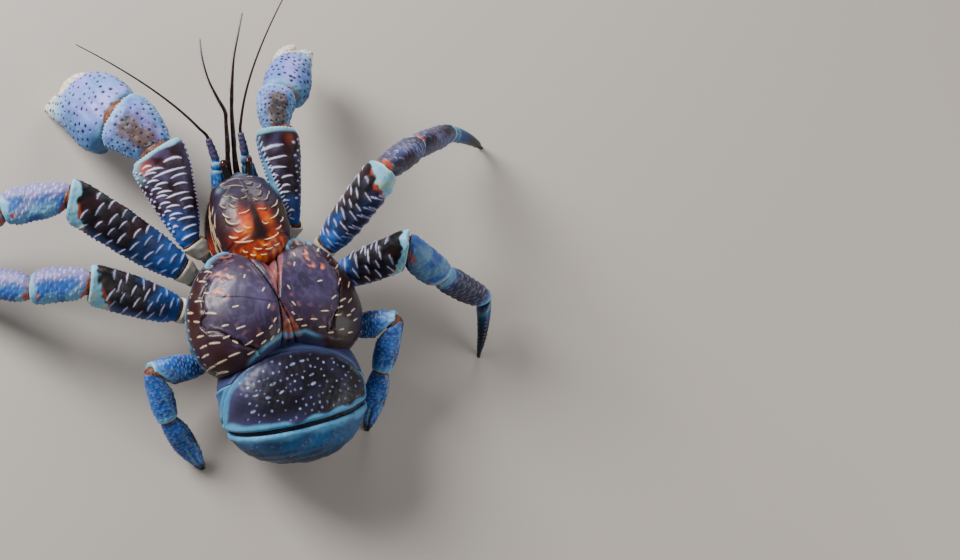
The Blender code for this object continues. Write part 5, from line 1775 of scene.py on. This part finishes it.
mottle = rough(head_skin, 3.0, 61)
cloud = rough(head_skin, 9.0, 62)
lift = (0.25 * arcs + 0.25 * behind_arc - 0.3 * centre_line + 0.45 * lines
        - 0.6 * bell(y - 43.5 + 0.012 * x ** 2, 1.2) * step(np.abs(x), 6, 12) * step(z, 58, 64)
        + 0.04 * mottle + 0.16 * cloud
        + 0.54 * bell(y - 81 + 0.03 * x ** 2, 2.2) * step(z, 58, 64))
print("crescents:", len(ARCS), "lines on each flank:", len(FLANK_LINES))

# %% [markdown]
# The shield is grey-purple in front and rust behind, with orange patches beside a dark arrow that
# points to the beak. Each patch is a soft oval, because the colours of shell run into each other.

# %% Colours of the head shield
def oval(cx, cy, wide, long, slant=0.0):
    """Soft oval patch in plan, which leans by its slant."""
    return bell(np.hypot((x - cx + slant * (y - cy)) / wide, (y - cy) / long), 1.0)


flank = 1 - step(z, 60, 70)
orange = np.maximum.reduce([oval(-7.68, 52.5, 4.8, 8.0, 0.16), oval(4.68, 54, 4.6, 6.0, 0.12),
                            oval(-14.5, 43, 4.5, 5.0) * 0.8, oval(9.5, 42, 5.0, 4.0) * 0.7])
rear_band = 1 - step(y + 0.010 * x ** 2 + 1.5 * cloud, 36.0, 42.0)
shaft = np.where(y > 46, 1.3 + 0.11 * np.clip(62 - y, 0, 30), 3.1 + 0.45 * np.clip(46 - y, 0, 6))
arrow = (1 - step(np.abs(x + 0.8), shaft * 0.45, shaft * 1.7)) * step(y + 1.5 * cloud, 35, 41) \
    * (1 - step(y, 58, 68))
masks = {
    "brown": np.maximum(step(-y + 4 * cloud, -76, -56) * 0.95, flank),
    "rust": np.clip((orange * 1.35 + 0.95 * rear_band) * (0.85 + 0.2 * mottle), 0, 1)
    * (1 - 0.6 * flank),
    "amber": oval(-9.0, 46.5, 3.6, 4.5) * 0.7 + rear_band * step(mottle, 0.0, 0.8) * 0.75
    + oval(6.5, 50, 3.5, 3.5) * 0.5,
    "dark": np.clip(arrow + bell(y - 69, 5) * bell(x, 7) * 0.5, 0, 1) * step(z, 60, 66),
    "pale": (0.8 * oval(-17.6, 80.5, 2.2, 2.2) + 0.5 * oval(17.6, 79.5, 2.0, 2.0)
             + 0.5 * bell(y - 88.5, 1.6) * bell(x, 8)) * step(z, 65, 70)
    + 0.22 * bell(z - 57.5, 1.0) * step(y, 50, 60) * step(mottle, -0.4, 0.6),
    "line": np.maximum(arcs * (0.50 + 0.50 * step(-y, -70, -58)), lines * 0.9)}
tufts = [(HEAD_MID + ax + t * ah, ay) for ax, ay, ah, *_ in ARCS for t in (-0.6, 0.0, 0.6)]
bristles("head_shield_bristles", plate_roots(head_skin, head_out, tufts), 1.0, 0.5, 2, 0.06,
         (0, 0.9, 0.2))
plate("head_shield_shell", head_ball, head_skin + head_out * lift[:, None], masks, [],
      shell["head"], ["head_shield"])

# %% [markdown]
# Cheeks and mouth are one keel-shaped body under the shield, after a second table of sections.
# The cheeks have long pale lines, and the mouth has lobes, seams and chevrons.

# %% The form of cheeks and mouth
JAW = [(44, 25.0, 30.0), (52, 26.5, 27.0), (62, 25.5, 25.0), (72, 22.5, 26.5),
       (80, 18.5, 30.0), (85, 14.0, 35.0)]


def in_jaw(p):
    half, low = table(JAW, p[:, 1]).T
    top = 45.7
    x = np.abs(p[:, 0] - HEAD_MID) / np.maximum(half, 0.1)
    keel = top - (top - low) * np.clip(1 - x ** 2, 0, 1) ** 0.35
    return (x < 1) & (p[:, 2] < top) & (p[:, 2] > keel) & (p[:, 1] > 44) & (p[:, 1] < 85)


jaw_ball, rays = ball_mesh(80, (1.0, 1.0, 0.7))
jaw_skin = pushed_out(rays, np.array([HEAD_MID, 62.0, 39.0]), in_jaw)
jaw_out = settled(jaw_ball, jaw_skin)
x, y, z = jaw_skin.T
x = x - HEAD_MID
aside = np.abs(x)
lines = np.zeros(len(x))
for k, height in enumerate((31.0, 35.0, 39.5, 43.5)):
    lines = np.maximum(lines, bell(z - height - 1.4 * np.sin(y * 0.15 + k), 0.5))
chevron = np.sin((y + 0.45 * aside) * 0.62 + 0.4 * rough(jaw_skin, 5.0, 65))
split = bell(aside - 6.4, 0.6)
lift = 0.5 * lines * step(aside, 14, 18) + (0.5 * chevron - 0.8 * split) * (1 - step(aside, 12, 16))
front = step(jaw_out[:, 1], 0.3, 0.8) * (1 - step(aside, 13, 15))
sag = np.abs(aside - 3.2)
seam = np.maximum.reduce([bell(aside - 6.4 - 0.05 * (z - 35), 0.7),
                          bell(z - 38.5 + 0.16 * sag, 0.55), bell(z - 31.0 + 0.20 * sag, 0.55)])
lobes = np.clip(1 - ((aside % 6.4 - 3.2) / 3.4) ** 2, 0, 1)
hollow = 3.6 * (x / 13.5) ** 2 + 3.0 * np.clip((40 - z) / 12, 0, 1) ** 2
lift = lift * (1 - front) \
    + front * (1.3 * lobes - 1.5 * seam - hollow + 0.2 * rough(jaw_skin, 2.2, 63))
jaw_shape = jaw_skin + jaw_out * lift[:, None]
print("points of cheeks and mouth:", len(x))

# %% [markdown]
# A fringe of bristles hangs before the mouth and a beard covers each cheek, rooted in rows in
# front view and in side view. Walls cut the body into its four plates.

# %% Cheeks and mouth plates
WALL = 13.0    # mm from the middle to the seam between mouth plate and cheek
cheek_masks = {"brown": 0.9, "rust": bell(np.hypot(y - 50, z - 40), 8) * 0.8,
               "pale": bell(z - 27, 2.5) * 0.6, "line": lines}
mouth_masks = {
    "brown": 0.4,
    "dark": front * seam + (0.6 * step(-chevron, 0.5, 1.0) + 0.7 * split) * (1 - front),
    "pale": np.maximum(
        front * (1 - seam) * step(lobes + 0.3 * rough(jaw_skin, 3.0, 64), 0.5, 1.1) * 0.5,
        step(chevron + 0.3 * rough(jaw_skin, 3.0, 66), 0.6, 1.3) * 0.35 * (1 - front))}
fringe = [(HEAD_MID + sx, sz) for sz in (27.5, 31.5, 35.0, 39.0)
          for sx in np.arange(-12, 12.5, 1.5)]
bristles("mouth_bristles", plate_roots(jaw_shape, jaw_out, fringe, (0, 2), (0.0, 1.0, 0.0)),
         4.0, 0.35, 3, 0.09, (0, 0.2, -0.8))
beard = [(sy, sz) for sz in (31.5, 36.0, 41.0) for sy in np.arange(50, 84, 2.0)]
for label, way in (("left", -1.0), ("right", 1.0)):
    roots = plate_roots(jaw_shape, jaw_out, beard, (1, 2), (way, 0.0, 0.0))
    bristles(f"cheek_{label}_bristles", roots, 3.0, 0.4, 3, 0.08, (way * 0.2, 0.5, -0.4))
for name, planes, masks in (("cheek_left", [(-WALL, 1)], cheek_masks),
                            ("mouth_left", [(-WALL, -1), (0, 1)], mouth_masks),
                            ("mouth_right", [(0, -1), (WALL, 1)], mouth_masks),
                            ("cheek_right", [(WALL, -1)], cheek_masks)):
    cuts = [cut(np.array([HEAD_MID + w, 0, 0]), np.array([s, 0.0, 0.0])) for w, s in planes]
    plate(name + "_shell", jaw_ball, jaw_shape, masks, cuts, shell["head"], [name])
print("with the head:", len(made))

# %% [markdown]
# Feelers, eyes and palps are round rods. A bevelled curve would give the form, but the tube of
# the limbs also keeps its measure, so that joints and rings can be raised and coloured at their
# places.

# %% A round rod
STRIDE = 0.004    # of the length: so far on either side the way of the rod is taken


def rod(node, points, radii, mat, paint, spacing, tufts=None):
    """Rod for a node; paint gives lift and masks, tufts where its bristles stand."""
    points = np.array(points, float)
    knots = np.r_[0, np.cumsum(np.linalg.norm(np.diff(points, axis=0), axis=1))]
    length = knots[-1]
    rows = np.column_stack([knots / length, points, radii])

    def centre(t):
        return table(rows, t)[:, :3]

    def way(t):
        d = centre(np.clip(t + STRIDE, 0, 1)) - centre(np.clip(t - STRIDE, 0, 1))
        return d / np.linalg.norm(d, axis=1, keepdims=True)

    def across(t):
        d = np.cross(way(t), (1.0, 0.0, 0.2))
        return d / np.linalg.norm(d, axis=1, keepdims=True)

    radius = lambda t: np.interp(t, rows[:, 0], rows[:, 4])
    mesh = tube(centre, across, lambda t: np.cross(across(t), way(t)), radius, radius, length,
                spacing, 2.0)
    lift, masks = paint(*read(mesh, "along", "around"), length)
    shape = shaped(mesh, lift)
    if tufts:
        start, gap, long, turns = tufts
        spots = [(s, turn * radius(s / length) * math.pi)
                 for s in np.arange(start * length, length - 1, gap) for turn in turns]
        bristles(node + "_bristles", tuft_roots(mesh, shape, spots), long, 0.35, 3, 0.06)
    finish_piece(node + "_shell", shape, mesh, masks, mat, [node])


# %% [markdown]
# An antenna has three jointed articles and a thin ringed lash that bows forward. The antennules
# are dark jointed rods with paired rows of lashes, which smell the food.

# %% Feelers
LASH = 9    # points along the lash


def curve(start, bend, tip):
    t = np.linspace(0, 1, LASH + 1)[1:, None]
    start, bend, tip = (np.array(q, float) for q in (start, bend, tip))
    return start * (1 - t) ** 2 + bend * 2 * t * (1 - t) + tip * t ** 2


def antenna(node, base, bend, tip):
    r = [np.array(q, float) for q in base]
    lerp = lambda a, b, f: a + (b - a) * f
    points = [r[0], lerp(r[0], r[1], 0.6), lerp(r[0], r[1], 0.92), r[1], lerp(r[1], r[2], 0.5),
              lerp(r[2], r[1], 0.1), r[2], lerp(r[2], r[3], 0.3), lerp(r[2], r[3], 0.75),
              lerp(r[3], r[2], 0.06), r[3]]
    radii = [4.4, 4.6, 4.2, 3.6, 3.7, 3.3, 2.6, 2.5, 2.3, 2.0, 1.1]
    points += list(curve(r[3], bend, tip))
    radii += [0.95 - 0.65 * (i + 1) / LASH for i in range(LASH)]
    first, second, stalk = np.cumsum([np.linalg.norm(b - a) for a, b in zip(r, r[1:])])

    def paint(x, a, length):
        lash = step(x, stalk - 2, stalk + 1)
        greyed = step(x, stalk * 0.55, stalk * 0.66)
        joints = np.minimum(np.abs(x - first), np.abs(x - second))
        speck = rough(np.column_stack([x, a, 0 * x]), 1.6, 71)
        bumps = 0.22 * speck - 0.45 * bell(joints, 0.7) + 0.25 * bell(joints - 1.6, 0.9)
        return 0.04 * np.sin(x * 3.6) * lash + bumps * (1 - lash), {
            "blue": (1 - greyed) * (0.6 + 0.4 * step(speck, -0.9, 0.3)),
            "grey": greyed * (1 - lash),
            "pale": bell(x - stalk * 0.5, 1.2) * 0.6 + bell(x - 11, 1.3) * 0.5
            + 0.5 * step(speck, 0.7, 1.5) * (1 - lash)}

    rod(node, points, radii, shell["feeler"], paint, 0.6)


def dark_rod(x, a, length):
    return 0.03 * np.sin(x * 4.0) * step(x, length * 0.55, length * 0.6), {
        "grey": bell(np.sin(x * 0.35), 0.25) * 0.5, "pale": step(x, length * 0.8, length) * 0.3}


antenna("antenna_left", [(-13, 86.5, 51), (-12, 98, 56), (-12, 103, 59), (-15, 117, 66)],
        (-40, 140, 100), (-93, 178, 110))
antenna("antenna_right", [(10.5, 86.5, 51), (8.5, 98, 57), (8, 103, 60), (7, 117, 67)],
        (10, 148, 96), (56, 199, 125))
ANTENNULES = {
    "antennule_left": [(-4.6, 86.5, 52), (-4.8, 95, 57), (-5, 104, 66), (-5, 106, 69),
                       (-4.8, 122, 84), (-4.8, 123.5, 86), (-10, 134, 96), (-14, 142, 103),
                       (-16, 156, 109), (-15, 169, 112)],
    "antennule_right": [(1.0, 86.5, 52), (0.2, 96, 58), (-0.4, 106, 68), (-0.4, 108, 70),
                        (0.4, 130, 88), (0.6, 132, 90), (2, 143, 101), (4, 153, 110),
                        (9, 166, 117), (14, 178, 122)]}
ANTENNULE_RADII = [2.4, 2.1, 1.5, 1.7, 1.15, 1.35, 0.9, 0.6, 0.48, 0.3]
for node, points in ANTENNULES.items():
    rod(node, points, ANTENNULE_RADII, shell["feeler"], dark_rod, 0.6,
        (0.55, 0.9, 1.6, (-0.75, 0.8)))
print("with the feelers:", len(made))

# %% [markdown]
# The eyes are short dark stalks with a wet cornea behind a shallow groove. The palps are jointed
# mouth limbs that bend down and back to the mouth, with five rows of bristles.

# %% Eyes and palps
def eye_paint(x, a, length):
    # the cap is painted dark red: partly the cornea's own tint, partly a painted glint
    cap = step(x, length * 0.68, length * 0.76)
    return -0.15 * bell(x - length * 0.66, 0.8), {"red_cornea_and_glint": cap, "dark": 1 - cap}


def palp_paint(x, a, length):
    joints = np.abs((x + 2.0) % 7.0 - 3.5)
    return (-0.4 * bell(joints, 0.6) + 0.25 * bell(joints - 1.6, 0.9)
            + 0.12 * rough(np.column_stack([x, a, 0 * x]), 2.0, 72)), {
        "blue": step(x, length * 0.2, length * 0.7) * 0.6, "skin": bell(joints, 0.9) * 0.8,
        "dark": step(x, length * 0.85, length) * 0.7,
        "ridge": bell(np.sin(a * 1.1 + 1), 0.3) * bell(joints - 2.4, 0.5) * 0.8}


for node, base, tip in (("eye_left", (-8, 87, 61.5), (-9, 101, 65)),
                        ("eye_right", (6.5, 87, 61.5), (8.5, 100.5, 65))):
    base, tip = np.array(base), np.array(tip)
    points = [base + (tip - base) * t for t in (-0.1, 0.2, 0.5, 0.72, 0.88, 1.0)]
    rod(node, points, [2.7, 2.6, 2.4, 2.6, 2.2, 1.0], shell["eye"], eye_paint, 0.35)
PALP = [(6.6, 84, 42), (7.4, 89, 37), (7, 92.5, 31), (6.6, 92.6, 29.5), (5.4, 91.5, 24),
        (4.6, 88.5, 20.5), (4.2, 86, 19.5)]
for node, way in (("palp_left", -1), ("palp_right", 1)):
    rod(node, [(HEAD_MID + way * px, py, pz) for px, py, pz in PALP],
        [3.2, 3.9, 3.0, 3.2, 3.2, 2.2, 1.0], shell["mouth"], palp_paint, 0.4,
        (0.12, 0.8, 2.4, (-0.8, -0.45, 0.1, 0.5, 0.85)))
print("with eyes and palps:", len(made))

# %% [markdown]
# Under the body lies the chest, a low block with a keel and a furrow between each pair of legs.
# It hardly shows, so one finish with dark furrows is enough.

# %% Chest
CHEST = [(-13, 42), (-26, 34), (-36, 20), (-39, 0), (-36, -20), (-24, -34),
         (24, -34), (36, -20), (39, 0), (36, 20), (26, 34), (13, 42)]
chest_plan = plan_of(CHEST, (0, 0))


def in_chest(p):
    reach = np.interp(np.arctan2(p[:, 1], p[:, 0]), *chest_plan)
    scale = table([(20, 0.80), (24, 0.94), (30, 1.0), (37.7, 0.98)], p[:, 2])[:, 0]
    return (np.hypot(p[:, 0], p[:, 1]) < reach * scale) & (p[:, 2] > 20) & (p[:, 2] < 37.7)


chest_ball, rays = ball_mesh(60, (1.0, 1.0, 0.45))
chest_skin = pushed_out(rays, np.array([0.0, 0.0, 29.0]), in_chest)
chest_out = settled(chest_ball, chest_skin)
x, y, z = chest_skin.T
bands = np.sin((y - 0.22 * np.abs(x)) * math.pi / 15.0)
furrows = np.maximum(bell(bands, 0.16), bell(x, 1.0) + bell(np.abs(x) - 15.0 - 0.1 * y, 0.8))
cloud = rough(chest_skin, 9.0, 82)
speck = rough(chest_skin, 3.0, 83)
lift = (-1.1 * furrows + 0.5 * np.abs(bands) + 0.2 * speck) * step(-z, -27, -22)
plate("sternum_shell", chest_ball, chest_skin + chest_out * lift[:, None],
      {"blue": 0.55 * step(cloud, 0.0, 1.2) * step(np.abs(x), 8, 22),
       "cream": 0.5 * step(-cloud + 0.4 * speck, 0.2, 1.2),
       "dark": furrows * 0.8 + 0.30 + 0.2 * step(speck, 0, 1)}, [],
      shell["chest"], ["sternum"])

# %% [markdown]
# A hip is a pale blue stub, a short tube that is dark towards the chest and mitred to its limb.
# In the frame the hips are one solid with the chest, so these pieces replace no node.

# %% Hips
HIP = [(0.0, 7.6, 7.2, 0), (0.35, 6.4, 6.0, 0), (0.55, 6.8, 6.2, 0), (0.8, 8.2, 7.2, 0),
       (1.0, 8.5, 7.5, 0)]
hips = {name: (joints, 1.0) for name, joints in LEGS.items()}
hips.update({name: (joints, 0.72) for name, joints in SMALL_LEGS.items()})
hips.update({name: (spec[0], 0.95) for name, spec in CLAWS.items()})
for name, (joints, size) in hips.items():
    j = [np.array(q, float) for q in joints[:3]]
    mesh, length = article_mesh(j[0], j[1], TO_CAMERA, HIP, size, None, mitre(*j), 0.5)
    x, rim = read(mesh, "along", "rim")
    wave = rough(coords(mesh), 5.0, 81)
    lift = collar(99.0, rim, 0.3, 0.3) + 0.25 * wave \
        - 0.8 * bell(x - length * 0.5 - 0.8 * wave, 1.0)
    finish_piece(name + "_hip_shell", shaped(mesh, lift), mesh, {
        "blue": 0.55 * step(wave, 0.1, 0.9),
        "dark": (1 - step(x + 1.2 * wave, length * 0.44, length * 0.56)) * 0.9,
        "cream": bell(rim - 1.5, 3.0) * 0.45 * step(wave, -1.0, 0.5),
        "skin": bell(rim, 0.5) * 0.6}, shell["chest"], [])
print("pieces:", len(made), "faces:", sum(made.values()))
